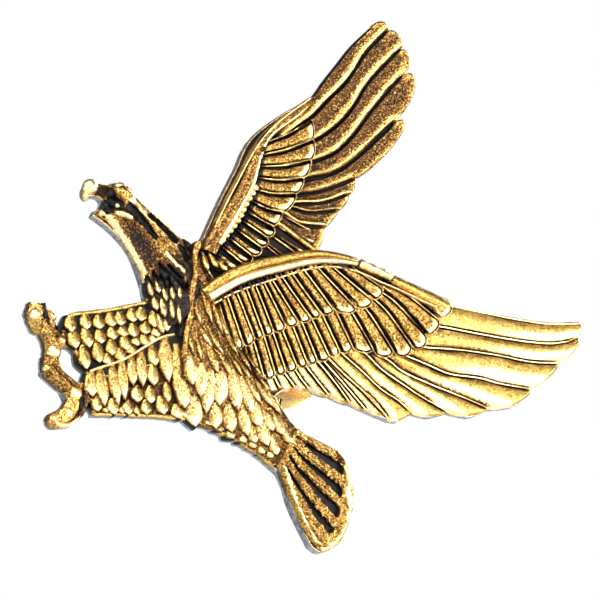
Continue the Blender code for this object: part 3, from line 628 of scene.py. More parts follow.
SECONDARIES = [
    [(4.8, -7.1), (5.6, -8.0), (7.7, -9.9), (9.7, -11.5), (12.6, -14.3)],
    [(4.0, -7.2), (5.0, -8.3), (7.6, -11.0), (10.2, -13.8)],
    [(3.2, -7.4), (4.0, -8.1), (6.0, -10.3), (8.2, -13.0)],
    [(2.0, -8.0), (2.55, -8.7), (4.0, -10.4), (5.6, -12.2)],
    [(0.6, -8.6), (1.3, -9.3), (2.2, -10.5), (3.1, -11.5)],
    [(-0.6, -9.0), (0.05, -9.8), (0.8, -10.7), (1.4, -11.4)],
    [(-2.0, -9.5), (-1.3, -10.2), (-0.9, -10.9), (-0.5, -11.6)],
    [(-3.2, -9.9), (-2.7, -10.6), (-2.4, -11.2), (-2.1, -11.9)],
]
near_wing += row(SECONDARIES, (2.5, 2.15), vaned(dome=0.2, groove=0.2), roundness=0.5, polish=0.2)
print("flight feathers:", len(near_wing) - 1)

# %% Near wing middle row
MIDDLE_ROW = [
    [(-5.7, -5.6), (-5.1, -6.8), (-4.0, -10.8)],
    [(-4.6, -5.0), (-4.0, -6.2), (-2.7, -10.4)], [(-3.3, -4.4), (-2.7, -5.6), (-1.3, -9.9)],
    [(-2.2, -4.0), (-1.6, -5.1), (0.0, -9.5)], [(-1.1, -3.6), (-0.5, -4.6), (1.4, -8.9)],
    [(0.2, -3.1), (0.8, -4.1), (2.7, -8.5)], [(1.4, -2.7), (2.0, -3.75), (3.9, -8.0)],
    [(2.7, -2.4), (3.3, -3.4), (5.4, -7.5)], [(4.0, -1.9), (4.65, -2.9), (6.7, -6.9)],
    [(5.4, -1.1), (6.1, -2.05), (8.3, -6.3)],
]
near_wing += row(MIDDLE_ROW, (3.0, 2.75), framed(wide_first=False), swapped=True, roundness=0.75)
GREATER = [
    [(5.4, -1.1), (6.1, -2.05), (8.3, -6.3)], [(7.0, -1.0), (8.4, -2.6), (10.9, -6.6)],
    [(8.6, -0.4), (10.6, -2.6), (13.4, -6.7)], [(9.8, 0.2), (12.4, -1.8), (15.7, -6.0)],
    [(10.6, 1.0), (13.6, -0.8), (17.5, -4.6)], [(11.6, 1.6), (15.0, 0.2), (19.0, -2.6)],
    [(12.6, 2.2), (16.2, 0.9), (20.6, -0.9)],
]
GREATER_TIPS = [(9.6, -7.1), (12.2, -7.6), (14.9, -7.4), (17.2, -6.2), (18.9, -4.0), (20.5, -2.0)]
greater = framed(groove=0.42, wide_first=False)
near_wing += row(GREATER, (3.1, 2.85), greater, GREATER_TIPS, swapped=True)

# %% Near wing shoulder row
SHOULDER_ROW = [
    [(-8.6, -1.6), (-8.0, -3.4), (-6.8, -7.2)], [(-7.7, -0.5), (-7.2, -1.7), (-5.4, -6.6)],
    [(-6.6, 0.0), (-6.0, -1.1), (-4.0, -5.8)], [(-5.4, 0.5), (-4.8, -0.6), (-2.9, -5.3)],
    [(-4.3, 0.9), (-3.7, -0.1), (-1.7, -4.8)], [(-3.2, 1.3), (-2.6, 0.3), (-0.2, -4.15)],
    [(-2.2, 1.8), (-1.6, 0.8), (1.3, -3.5)], [(-1.0, 2.3), (-0.4, 1.3), (2.9, -3.05)],
    [(0.3, 2.8), (0.9, 1.7), (4.2, -2.5)], [(1.6, 3.2), (2.4, 2.2), (5.75, -1.95)],
    [(3.1, 3.7), (4.0, 2.7), (8.45, -1.6)], [(4.9, 3.8), (5.9, 2.9), (10.5, -0.6)],
    [(7.8, 3.4), (9.0, 2.6), (11.8, 0.9)],
]
near_wing += row(SHOULDER_ROW, (3.55, 3.3), framed(wide_first=False), swapped=True, roundness=0.75)

# %% [markdown]
# ## Near arm
# The arm has a speckled upper slope and a bright lower round, a thin bead below it, and a thumb feather
# beyond the wrist. One wide form could hold them all; separate rods keep the sharp lines between them.

# %% Near arm, wrist and leading edge
ARM_SLOPE = [(-10.2, -0.7), (-7.6, 1.2), (-4.4, 2.75), (-1.4, 3.6), (3.0, 4.6), (6.2, 4.5), (8.7, 4.0)]
ARM_ROUND = [(-9.7, -1.2), (-6.6, 0.65), (-4.0, 1.75), (-1.4, 2.5), (3.0, 3.65), (6.0, 3.85), (8.6, 3.65)]
ARM_BEAD = [(-9.0, -1.9), (-6.2, -0.35), (-1.4, 1.35), (2.4, 2.65), (5.6, 3.15), (9.0, 2.6), (11.6, 1.5),
            (13.4, 0.9), (18.6, -1.3)]
WRIST = [(9.2, 3.75), (10.2, 3.3), (11.4, 2.9), (12.9, 2.25)]
THUMB_FEATHER = [(13.4, 1.9), (16.4, 0.6), (20.0, -1.0)]
LEADING_EDGE = [(20.4, -0.9), (27.6, -2.0), (33.0, -2.6), (37.0, -2.4)]
near_wing.append(rod(ARM_SLOPE, 1.7, (3.2, 3.1), 0.75, taper=(0.9, 0.5), hollow=0.10))
near_wing.append(rod(ARM_ROUND, 1.15, (3.75, 3.45), 0.80, taper=(1.0, 0.65), polish=1.0))
near_wing.append(rod(ARM_BEAD, 0.26, 3.55, 0.32, polish=1.0))
near_wing.append(rod(WRIST, 1.15, (3.25, 3.1), 0.75, polish=0.7, lumps=0.10))
near_wing.append(rod(THUMB_FEATHER, 1.9, (2.9, 2.8), 0.70, taper=(0.65, 0.95), polish=0.1, lumps=0.05))
near_wing.append(rod(LEADING_EDGE, 0.34, 2.35, 0.3, polish=0.8))
print("near wing pieces:", len(near_wing))

# %% [markdown]
# ## Modelled forms
# The head, the breast and the tail are rounded masses rather than feathers, so a finer blank is laid over
# each and then carved: grooves are cut along lines and ribs are raised along others. Cutting real grooves
# with booleans would leave hard steps, while lowered vertices give the soft walls of a casting.

# %% Carving tools
def stroke(line, places, root_width, tip_width=None, crisp=0.35):
    """1 inside a stroke along a line, falling to 0 at its edge."""
    count = 24
    line = flow(line, count)
    offset = places[:, None] - line
    nearest = np.argmin((offset**2).sum(-1), axis=1)
    tip_width = root_width if tip_width is None else tip_width
    half = (root_width + (tip_width - root_width) * nearest / (count - 1)) / 2
    ragged = distance_to(line, places) + 0.16 * skin(places, 0.32)
    return 1 - ease(ragged, half * (1 - crisp), half * (1 + crisp))


def spot(place, places, radius):
    """1 at a place, falling softly to 0 around it."""
    return np.exp(-((places - place) ** 2).sum(-1) / radius**2)


def form(first, second, ground, cuts=(), ribs=(), tip=None, roundness=0.3, base_hollow=0.0, shading=None):
    """A rounded mass between two edge lines, with strokes cut into it and ribs raised on it."""
    places, gaps, along, across, _ = lay(FORM_BLANK, first, second, tip, roundness=roundness)
    front = ground(places, gaps, along, across)
    hollow = np.full(len(places), base_hollow)
    if shading:
        hollow = np.maximum(hollow, shading(along, across))
    rubbed = np.zeros(len(places))
    for line, width, height in ribs:
        mask = stroke(line, places, *np.atleast_1d(width), crisp=0.9)
        front, hollow, rubbed = front + mask * height, hollow * (1 - mask), np.maximum(rubbed, mask)
    for line, width, depth in cuts:
        mask = stroke(line, places, *np.atleast_1d(width))
        front, hollow = front - mask * depth, np.maximum(hollow, mask)
    return cast(FORM_BLANK, places, front, hollow, rubbed, uneven=0.10)


# %% Scales
SCALE_SPREAD, SHINGLE = 1.55, 0.50


def scale(root, tip, width, ground, profile, polish=0.0, foot=FOOT_FRONT, packed=SCALE_SPREAD):
    """A small pointed feather that rises from under its neighbours to a proud tip, like a shingle."""
    root, tip = np.array(root, float), np.array(tip, float)
    sideways = noise.noise((3.1 * root[0], 3.1 * root[1], 0.5))
    lengthways = noise.noise((2.7 * root[0], 2.7 * root[1], 4.5))
    root = root + 0.25 * np.array((sideways, lengthways))
    tip = tip + 0.35 * np.array((lengthways, sideways))
    axis = tip - root
    length = np.linalg.norm(axis)
    side = np.array([-axis[1], axis[0]]) / length * width * packed / 2
    spine = [root - 0.12 * axis, root + 0.22 * axis, root + 0.58 * axis]
    swell = [0.60, 0.95, 1.0]
    first = [place + side * share for place, share in zip(spine, swell)]
    second = [place - side * share for place, share in zip(spine, swell)]

    def slope(places):
        run = np.clip((places - root) @ axis / length**2, -0.1, 1)
        here = ground(places) if callable(ground) else ground
        return here + SHINGLE * (run - 0.55)

    return feather(first, second, slope, profile, tip=tip, blank=SCALE_BLANK, polish=polish, shade=0.16,
                   foot=foot, point=0.75)


def shingles(rows, ground, profile, share=1.0, **more):
    """A scale for each (root, tip, width), with the widths taken at the given share."""
    return [scale(root, tip, share * width, ground, profile, **more) for root, tip, width in rows]


# %% [markdown]
# ## Head
# A hooked beak that ends in a round knob, a heavy brow over the eye, a rubbed gold edge down the throat
# and long black strokes between the neck feathers. The whole head is one form from throat to crown, so
# the strokes run on unbroken; only the round knob, the brow, the eye and the neck feathers are set on it.

# %% Head
HEAD = outline(
    [(-21.9, 12.2), (-20.6, 12.5), (-19.2, 12.0), (-16.0, 9.0), (-11.3, 5.2)],
    [(-11.3, 5.2), (-8.0, 0.0), (-9.0, -5.0), (-14.0, -5.0), (-17.0, -2.4)],
    [(-17.0, -2.4), (-17.5, 0.3), (-19.0, 4.0), (-21.2, 6.5), (-23.7, 8.3)],
    [(-23.7, 8.3), (-23.3, 9.0), (-22.3, 9.2), (-22.8, 10.4), (-24.0, 10.6)],
    [(-24.0, 10.6), (-24.6, 10.4), (-24.8, 11.4), (-24.0, 12.5), (-22.9, 12.4), (-21.9, 12.2)],
)
THROAT = [
    (-23.1, 8.4), (-21.5, 7.2), (-19.9, 5.1), (-18.7, 3.2), (-17.6, 1.0), (-16.9, -1.6), (-16.4, -3.4),
]
THROAT_EDGE = [(-22.9, 8.5), (-21.5, 7.6), (-19.9, 5.5), (-18.7, 3.6), (-17.5, 1.4), (-16.8, -1.2)]
CROWN = [
    (-22.0, 11.9), (-20.7, 12.3), (-19.2, 11.8), (-16.0, 8.9), (-12.9, 6.3), (-11.2, 4.9), (-10.4, 1.5),
]


def skull(places, gaps, along, across):
    edge = ease(np.minimum(gaps[0], gaps[1]), 0.0, 0.8)
    brow = 0.65 * spot((-20.1, 11.2), places, 1.05) + 0.45 * spot((-20.4, 8.6), places, 0.6)
    cheek = stroke([(-19.9, 6.9), (-18.2, 5.2), (-16.8, 2.9), (-16.2, 1.6)], places, 1.6, 2.4, crisp=0.9)
    return 2.35 + 0.75 * np.sqrt(edge) + 0.65 * np.sin(np.pi * across) + brow - 0.35 * cheek


def tarnish(along, across):
    """The cheek and the base of the neck stay brown, and the neck ends almost black."""
    cheek = 0.38 * np.exp(-((along - 0.45) / 0.26) ** 2 - ((across - 0.32) / 0.22) ** 2)
    return 0.18 + cheek + 0.40 * ease(along, 0.60, 0.78)


# %% Carve the head
head = [plate("head_plate", HEAD, 2.2, floor=0.5, back=0.04)]
head.append(form(
    THROAT, CROWN, skull, tip=(-13.0, -4.0), shading=tarnish,
    ribs=[(THROAT_EDGE, 0.60, 0.30),
          ([(-20.9, 8.5), (-20.2, 8.3), (-19.4, 8.2)], 0.6, 0.20),
          ([(-19.2, 10.2), (-17.6, 8.7), (-14.4, 6.1), (-13.0, 4.4)], 0.6, 0.2),
          ([(-18.9, 11.2), (-15.9, 8.8), (-12.8, 6.2)], 0.8, 0.1),
          ([(-14.9, 3.9), (-13.8, 2.8), (-12.8, 1.9)], 0.5, 0.25)],
    cuts=[([(-19.4, 9.2), (-17.8, 7.7), (-16.2, 5.8)], (1.15, 0.55), 0.55),
          ([(-16.9, 8.5), (-15.5, 7.3), (-13.7, 5.6)], (0.6, 0.75), 0.55),
          ([(-15.7, 2.6), (-14.9, 1.3)], (0.3, 0.9), 0.6),
          ([(-14.6, 2.4), (-13.6, 1.2), (-12.6, 0.2)], (0.4, 0.9), 0.6),
          ([(-22.4, 12.0), (-21.8, 10.9), (-21.5, 9.9)], 1.05, 0.6),
          ([(-13.2, 4.9), (-12.1, 3.2)], 0.6, 0.5),
          ([(-12.6, 5.7), (-11.8, 4.6)], 0.45, 0.45),
          ([(-17.3, 1.3), (-16.8, 0.1)], (0.2, 0.7), 0.5),
          ([(-16.4, 1.7), (-16.0, 0.3)], (0.2, 0.7), 0.5),
          ([(-15.6, 1.4), (-15.3, -0.2)], (0.2, 0.7), 0.5),
          ([(-14.6, 0.8), (-14.3, -0.8)], (0.2, 0.7), 0.5),
          ([(-21.4, 9.9), (-20.8, 9.5)], 1.35, 0.5),
          ([(-22.6, 9.5), (-22.0, 9.0)], 1.1, 0.5)]))

# %% Beak knob, brow, eye and neck feathers
head.append(knob((-24.0, 11.75), 0.98, 2.2, 1.0, polish=1.0))
head.append(knob((-20.5, 11.5), 0.85, 3.0, 0.55, polish=0.7))
head.append(rod([(-24.3, 11.9), (-24.55, 11.1), (-24.35, 10.5)], 0.7, 1.7, 0.7, polish=1.0))
head.append(knob((-20.95, 9.45), 0.30, 3.35, 0.3, polish=1.0))
head.append(knob((-22.3, 9.25), 0.24, 2.9, 0.3, polish=0.0, hollow=1.0))
head.append(knob((-22.3, 8.35), 0.42, 2.75, 0.35, polish=0.0, hollow=1.0))
NECK = [
    ((-17.1, 0.2), (-16.7, -1.7), 0.7), ((-16.2, 0.4), (-15.9, -1.3), 0.7),
    ((-15.2, -0.4), (-15.0, -2.0), 0.7), ((-14.2, -0.2), (-14.1, -1.9), 0.7),
    ((-13.2, 0.1), (-13.3, -1.8), 0.6), ((-12.6, 1.6), (-12.6, 0.0), 0.5),
    ((-16.5, -1.4), (-16.1, -3.4), 0.8), ((-15.5, -1.8), (-15.1, -4.2), 0.8),
    ((-14.5, -1.8), (-14.2, -4.6), 0.7), ((-13.4, -2.2), (-13.4, -5.0), 0.6),
    ((-15.8, -3.8), (-15.4, -6.0), 0.8),
]
head += shingles(NECK, 3.6, leaf(), share=1.25, polish=0.5, packed=1.30)

# %% [markdown]
# ## Breast and thighs
# The breast swells toward the viewer under the near wing. The thighs carry rows of lens-shaped feathers
# with black between them, and one bright fold divides the upper thigh from the lower one. The shoulder
# seam is a lumpy cord down to the thigh. A texture of scales would repeat; each feather is listed one by
# one, root and tip, because the real ones differ in length and lean.

# %% Trunk and thigh outlines
TRUNK = outline(
    [(-11.3, 5.0), (-9.8, 2.0), (-8.2, -2.0), (-6.0, -6.6), (-3.2, -10.6), (-0.9, -12.8)],
    [(-0.9, -12.8), (0.3, -15.2), (1.6, -16.8), (0.6, -20.2), (-1.5, -21.1)],
    [(-1.5, -21.1), (-4.2, -19.2), (-8.2, -17.3), (-12.1, -15.9), (-16.0, -14.0)],
    [(-16.0, -14.0), (-17.5, -8.0), (-16.8, -2.2), (-13.0, 2.0), (-11.3, 5.0)],
)
UPPER_THIGH = outline(
    [(-27.1, -4.3), (-26.1, -3.5), (-22.3, -3.0), (-17.2, -1.8)],
    [(-17.2, -1.8), (-13.0, -2.4), (-11.0, -6.0), (-14.0, -8.5)],
    [(-14.0, -8.5), (-19.0, -10.4), (-24.2, -11.6)],
    [(-24.2, -11.6), (-24.9, -9.8), (-26.4, -7.4), (-27.1, -4.3)],
)
LOWER_THIGH = outline(
    [(-24.3, -10.4), (-21.5, -9.6), (-17.0, -7.0), (-13.6, -5.6)],
    [(-13.6, -5.6), (-9.0, -8.0), (-8.4, -13.6), (-10.4, -16.4)],
    [(-10.4, -16.4), (-13.0, -15.9), (-19.0, -15.7), (-23.6, -15.8)],
    [(-23.6, -15.8), (-24.0, -13.6), (-24.3, -10.4)],
)

# %% Breast
BREAST_LEFT = [
    (-11.9, 3.6), (-12.1, 0.0), (-12.3, -4.0), (-12.8, -9.0), (-12.0, -15.6), (-8.3, -17.2),
    (-4.3, -19.1), (-1.6, -20.8),
]
BREAST_RIGHT = [
    (-10.6, 4.0), (-9.0, 0.4), (-7.8, -3.2), (-5.6, -7.6), (-3.0, -11.0), (-0.8, -13.6), (0.8, -15.8),
    (2.6, -17.4),
]


def breast_front(places):
    """How far the breast swells out at a place."""
    low = distance_to(flow(BREAST_LEFT[4:], 12), places)
    swell = 1.35 * spot((-8.4, -9.6), places, 4.2) + 0.45 * spot((-4.6, -14.0), places, 3.2)
    return 2.75 + 0.35 * ease(low, 0.0, 1.4) + swell


def breast(places, gaps, along, across):
    return breast_front(places) - 0.4 * (1 - ease(np.minimum(gaps[1], gaps[2]), 0.0, 0.7))


def on_breast(places):
    return breast_front(places) + 0.10


body = [
    plate("trunk_plate", TRUNK, 2.5, floor=0.4, back=0.06),
    plate("upper_thigh_plate", UPPER_THIGH, 2.9, floor=0.9, back=0.08),
    plate("lower_thigh_plate", LOWER_THIGH, 2.75, floor=0.45, back=0.10),
]
body.append(form(BREAST_LEFT, BREAST_RIGHT, breast, tip=(1.2, -19.9), base_hollow=0.30))

# %% Breast feathers
FLOWING = [
    ((-8.4, -2.4), (-6.9, -7.2), 1.0), ((-7.9, -4.4), (-6.0, -8.9), 1.0),
    ((-6.4, -6.6), (-4.2, -10.4), 0.9), ((-5.2, -7.6), (-2.6, -11.4), 0.8),
    ((-4.0, -9.6), (-1.6, -12.8), 0.8), ((-11.4, -1.0), (-10.6, -5.2), 1.0),
    ((-10.4, 0.2), (-9.2, -5.0), 1.1), ((-9.2, -0.4), (-7.9, -6.2), 1.1),
    ((-10.9, -4.2), (-9.2, -7.6), 1.1), ((-9.6, -4.6), (-7.9, -8.6), 1.1),
    ((-12.2, -4.2), (-11.6, -8.8), 0.9), ((-11.2, -5.4), (-10.6, -9.4), 1.0),
    ((-9.9, -6.6), (-8.6, -10.8), 1.4), ((-8.6, -7.4), (-6.9, -11.2), 1.2),
    ((-7.6, -7.2), (-5.4, -11.0), 1.0), ((-6.6, -8.0), (-4.0, -11.6), 0.9),
]
LOWER_BREAST = [
    ((-12.0, -8.8), (-11.8, -12.2), 1.3), ((-12.8, -11.6), (-12.6, -14.9), 1.4),
    ((-10.8, -9.8), (-10.9, -13.8), 1.3), ((-11.4, -13.6), (-11.3, -17.0), 1.7),
    ((-9.7, -10.6), (-10.0, -15.6), 1.4), ((-8.4, -10.4), (-8.3, -14.6), 1.6),
    ((-7.0, -10.4), (-6.1, -15.2), 1.5), ((-8.9, -14.2), (-8.6, -17.2), 1.4),
    ((-7.4, -14.4), (-6.7, -17.7), 1.4), ((-5.7, -11.2), (-4.2, -15.6), 1.3),
    ((-4.9, -10.8), (-3.0, -14.0), 0.9), ((-5.7, -14.6), (-4.8, -18.1), 1.3),
    ((-4.4, -13.4), (-3.1, -17.0), 1.5), ((-3.6, -11.3), (-1.6, -14.3), 0.9),
    ((-2.6, -12.0), (-0.6, -15.4), 0.8), ((-3.2, -15.8), (-2.2, -19.0), 1.4),
    ((-2.7, -14.6), (-1.4, -17.4), 1.2), ((-1.4, -15.2), (-0.2, -17.8), 1.1),
    ((-4.4, -16.8), (-3.8, -18.9), 1.1), ((-1.6, -17.6), (-0.9, -20.1), 1.2),
    ((-0.3, -16.4), (1.1, -18.6), 1.1),
]
LOW_FOOT = 0.2
LOWER_EDGE = [
    ((-12.4, -14.6), (-12.2, -15.8), 1.2), ((-11.0, -15.4), (-10.8, -16.5), 1.3),
    ((-9.6, -15.8), (-9.4, -16.9), 1.2), ((-8.2, -16.2), (-7.8, -17.5), 1.2),
    ((-6.9, -16.9), (-6.3, -18.1), 1.2), ((-5.5, -17.4), (-4.9, -18.7), 1.2),
    ((-4.2, -18.0), (-3.6, -19.3), 1.1), ((-3.1, -18.8), (-2.5, -19.9), 1.0),
    ((-2.1, -19.3), (-1.5, -20.4), 1.0),
]
body += shingles(LOWER_EDGE, 2.85, leaf(dome=0.4), polish=0.2, foot=LOW_FOOT)
body += shingles(FLOWING, on_breast, leaf(dome=0.26, brown=0.24), share=0.75)
body += shingles(LOWER_BREAST, on_breast, leaf(dome=0.5), polish=0.5)

# %% Thigh feathers
UPPER_SCALES = [
    ((-26.4, -4.0), (-26.4, -6.0)), ((-24.8, -3.9), (-24.7, -5.9)), ((-23.2, -3.9), (-23.0, -5.8)),
    ((-21.8, -3.7), (-21.6, -5.5)), ((-20.5, -3.4), (-20.3, -5.2)), ((-19.2, -3.2), (-19.2, -5.0)),
    ((-17.9, -2.8), (-18.0, -4.7)), ((-26.3, -5.8), (-26.0, -8.2)), ((-24.8, -5.7), (-24.4, -8.0)),
    ((-23.1, -5.6), (-22.8, -7.6)), ((-21.6, -5.3), (-21.4, -7.1)), ((-20.2, -5.0), (-20.0, -6.7)),
    ((-18.9, -4.8), (-18.8, -6.6)), ((-17.5, -4.5), (-17.4, -6.3)), ((-25.0, -7.8), (-24.7, -10.6)),
    ((-23.3, -7.2), (-23.0, -9.8)), ((-21.6, -6.8), (-21.4, -8.9)), ((-20.1, -6.4), (-19.9, -8.3)),
    ((-18.6, -6.2), (-18.3, -7.7)), ((-16.4, -3.2), (-16.3, -5.4)), ((-16.0, -5.0), (-15.7, -6.3)),
    ((-22.1, -8.5), (-22.0, -10.0)), ((-20.6, -7.9), (-20.4, -9.4)), ((-19.2, -7.2), (-18.9, -8.7)),
    ((-17.7, -6.0), (-17.3, -7.6)), ((-16.6, -5.9), (-16.0, -6.9)), ((-14.9, -2.8), (-14.7, -5.6)),
]
for root, tip in UPPER_SCALES:
    body.append(scale(root, tip, 1.15, 3.15, leaf(dome=0.40), packed=1.75))
LOWER_SCALES = [
    ((-24.0, -10.9), (-23.9, -13.9), 1.4), ((-22.8, -10.6), (-22.4, -15.0), 1.3),
    ((-21.5, -10.0), (-20.7, -15.0), 1.2), ((-20.2, -9.4), (-20.0, -14.3), 1.15),
    ((-19.0, -8.9), (-18.9, -12.4), 1.15), ((-17.9, -8.3), (-17.7, -12.6), 1.2),
    ((-16.6, -7.4), (-16.1, -10.0), 1.2), ((-16.4, -9.6), (-16.2, -12.3), 1.2),
    ((-15.0, -6.6), (-14.5, -12.0), 1.4), ((-13.5, -7.6), (-13.0, -15.0), 1.2),
    ((-23.5, -13.6), (-23.1, -15.8), 1.2), ((-21.4, -14.0), (-21.3, -15.9), 1.3),
    ((-19.4, -13.9), (-19.3, -15.8), 1.2), ((-18.4, -12.2), (-18.2, -14.4), 1.3),
    ((-17.3, -14.0), (-17.3, -15.7), 1.2), ((-16.7, -12.2), (-16.6, -14.4), 1.2),
    ((-15.4, -13.4), (-14.9, -15.6), 1.3), ((-14.8, -11.7), (-14.4, -14.3), 1.0),
    ((-22.4, -14.8), (-22.2, -15.8), 1.0), ((-20.3, -14.7), (-20.3, -15.8), 0.9),
    ((-18.3, -14.6), (-18.3, -15.7), 0.9), ((-13.5, -14.4), (-13.1, -16.0), 1.4),
]
for root, tip, width in LOWER_SCALES:
    foot = LOW_FOOT if tip[1] < -15.4 else FOOT_FRONT
    body.append(scale(root, tip, width, 3.0, leaf(dome=0.46), polish=0.4, foot=foot, packed=1.6))

# %% Fold, seam and rims
FOLD = [(-24.3, -10.6), (-23.0, -10.1), (-20.1, -9.0), (-17.2, -7.2), (-15.3, -6.1), (-13.9, -5.8)]
LEDGE = [(-26.9, -4.2), (-25.8, -3.7), (-22.3, -3.2), (-18.4, -2.3), (-17.2, -2.0)]
SEAM = [
    (-11.0, 5.4), (-11.5, 3.6), (-11.3, 1.7), (-11.8, -0.5), (-11.8, -3.0), (-12.4, -5.4), (-12.7, -8.4),
]
SEAM_SHADOW = [(-12.5, -1.2), (-12.8, -3.4), (-13.1, -5.8)]
SHOULDER_FEATHERS = [
    ((-10.3, 4.2), (-9.5, 1.6), 0.8), ((-9.3, 4.2), (-8.2, 2.2), 0.8), ((-8.3, 3.4), (-6.9, 1.9), 0.8),
]
body.append(rod(FOLD, 0.34, 3.3, 0.40, polish=0.6, lumps=0.15))
body.append(rod(LEDGE, 0.45, 3.0, 0.25, polish=0.3, lumps=0.25))
body.append(rod(SEAM, 0.70, (3.7, 3.3), 0.30, hollow=0.22, lumps=0.35, uneven=0.16))
body.append(rod(SEAM_SHADOW, 0.7, 3.2, 0.25, hollow=1.0, lumps=0.3, uneven=0.16))
body += shingles(SHOULDER_FEATHERS, 2.9, leaf(), polish=0.2)
RIMS = [
    ([(-27.0, -4.5), (-26.3, -7.3), (-24.9, -9.8), (-24.2, -11.3)], 2.85),
    ([(-24.2, -10.9), (-23.9, -13.8), (-23.5, -15.5)], 2.70),
    ([(-23.5, -15.6), (-19.0, -15.5), (-13.0, -15.7), (-10.4, -16.2)], 2.70),
    ([(-12.1, -15.7), (-8.2, -17.1), (-4.2, -19.0), (-1.6, -20.8)], 2.45),
]
for line, front in RIMS:
    body.append(rod(line, 0.50, front, 0.20, polish=0.3, lumps=0.3, uneven=0.10))
print("body pieces:", len(body), "head pieces:", len(head))

# %% [markdown]
# ## Talons
# Two knuckled toes curl toward each other round an open gap. Each toe is a run of rounded bars between
# ball joints, standing on a plate that is cut through in the middle. A boolean cuts the gap, because a
# hole with a plain wall all round is just what it leaves.

# %% Talon plate with its gap
TALONS = outline(
    [(-30.8, -2.5), (-29.8, -2.4), (-29.0, -3.7), (-27.9, -5.6), (-25.6, -5.4)],
    [(-25.6, -5.4), (-22.6, -9.0), (-23.2, -13.0), (-24.6, -14.9)],
    [(-24.6, -14.9), (-25.5, -16.4), (-27.3, -17.4), (-28.8, -16.0)],
    [(-28.8, -16.0), (-27.4, -15.4), (-26.9, -14.2), (-28.0, -12.2), (-29.5, -11.4)],
    [(-29.5, -11.4), (-29.9, -10.6), (-29.3, -8.6), (-29.7, -6.7), (-31.3, -4.7)],
    [(-31.3, -4.7), (-31.9, -3.6), (-30.8, -2.5)],
)
TALON_HOLE = outline(
    [(-27.6, -7.6), (-26.4, -7.8), (-25.3, -9.0), (-24.6, -10.6), (-24.9, -11.9)],
    [(-24.9, -11.9), (-26.2, -11.9), (-27.4, -10.6), (-28.0, -8.7), (-27.6, -7.6)],
)
CUTTER_REACH = 2.0
talon_plate = plate("talon_plate", TALONS, 2.7, floor=0.5, back=0.12)
cutter = plate("talon_cutter", TALON_HOLE, 6.0)
points = points_of(cutter.data)
points[:, 1] += CUTTER_REACH * MM
set_points(cutter.data, points)
apply_modifier(talon_plate, "BOOLEAN", object=cutter, operation="DIFFERENCE", solver="EXACT")
bpy.data.objects.remove(cutter)

# %% Toes, knuckles and creases
talons = [talon_plate]
TOES = [
    ([(-30.4, -2.8), (-30.7, -3.9), (-30.2, -5.1)], 2.7, 0.75, 0.3, 0.10),
    ([(-29.2, -3.4), (-29.0, -4.6), (-28.6, -5.6)], 1.2, 0.85, 0.1, 0.14),
    ([(-30.0, -4.6), (-29.3, -6.0), (-28.8, -7.2), (-28.7, -8.6)], 2.2, 0.85, 0.1, 0.20),
    ([(-28.9, -9.0), (-28.9, -10.5), (-27.8, -11.6), (-26.4, -12.6)], 2.3, 0.75, 0.0, 0.24),
    ([(-28.7, -9.6), (-27.9, -10.6), (-26.8, -11.5), (-25.6, -12.4)], 0.8, 0.95, 0.1, 0.20),
    ([(-26.3, -12.8), (-25.9, -13.9), (-26.5, -15.2), (-27.4, -16.2),
     (-28.3, -16.5)], 2.3, 0.80, 0.3, 0.12),
    ([(-28.6, -16.1), (-28.0, -17.0), (-26.6, -17.0), (-25.5, -16.2)], 0.6, 0.80, 1.0, 0.0),
    ([(-24.6, -12.4), (-24.5, -13.9), (-25.2, -15.6)], 1.0, 0.65, 0.0, 0.38),
    ([(-28.6, -5.9), (-27.4, -6.3), (-26.0, -6.3)], 1.1, 0.60, 0.0, 0.30),
]
for line, width, height, polish, stained in TOES:
    talons.append(rod(line, 0.88 * width, 2.5, height, polish=polish, hollow=stained, lumps=0.05,
                      uneven=0.06))
KNUCKLES = [
    ((-30.9, -3.9), 0.80, 1.00, 1.0), ((-28.8, -4.2), 0.55, 0.90, 0.5), ((-28.6, -8.3), 0.95, 0.90, 0.6),
    ((-29.5, -10.3), 0.50, 0.75, 0.5), ((-27.6, -7.0), 0.55, 0.80, 0.6),
    ((-25.9, -13.3), 0.85, 0.90, 0.8), ((-26.7, -15.6), 0.60, 0.85, 0.9),
    ((-29.8, -5.9), 0.55, 0.80, 0.3),
]
for place, radius, height, polish in KNUCKLES:
    talons.append(knob(place, radius, 2.7, height, polish=polish))
CREASES = [
    [(-29.9, -2.6), (-29.7, -3.8), (-29.4, -5.0)], [(-28.2, -5.2), (-27.8, -6.0)],
    [(-25.2, -13.6), (-25.3, -15.0)],
]
for line in CREASES:
    talons.append(rod(line, 0.45, 3.2, 0.14, hollow=1.0, uneven=0.14))
print("talon pieces:", len(talons))

# %% [markdown]
# ## Tail
# The tail fans out from the rump in five gold bars with four deep black troughs between them, and a
# bright scalloped rim round its end. It could be five separate bars, but one form keeps the troughs' floors
# and the bars in a single skin, as cast.

# %% Tail outline and lines
TAIL = outline(
    [(-0.6, -12.8), (0.5, -15.4), (4.6, -17.9), (6.7, -18.8), (7.5, -20.6)],
    [(7.5, -20.6), (8.1, -22.7), (8.1, -24.7), (8.2, -26.5), (7.7, -28.5)],
    [(7.7, -28.5), (7.2, -29.9), (6.0, -30.7), (4.5, -31.3), (3.3, -30.6)],
    [(3.3, -30.6), (0.9, -25.9), (-0.2, -22.4), (-1.5, -21.2), (-4.0, -19.2)],
)
TAIL_LEFT = [(-1.1, -21.1), (0.0, -23.5), (1.2, -26.3), (2.4, -28.8), (4.3, -31.1)]
TAIL_RIGHT = [(1.2, -16.6), (3.4, -17.5), (5.0, -18.2), (6.3, -18.9), (7.1, -20.3)]
TROUGHS = [
    (0.20, 0.040, 0.10, 0.90), (0.40, 0.050, 0.10, 0.87), (0.60, 0.045, 0.10, 0.84),
    (0.82, 0.055, 0.06, 0.80),
]
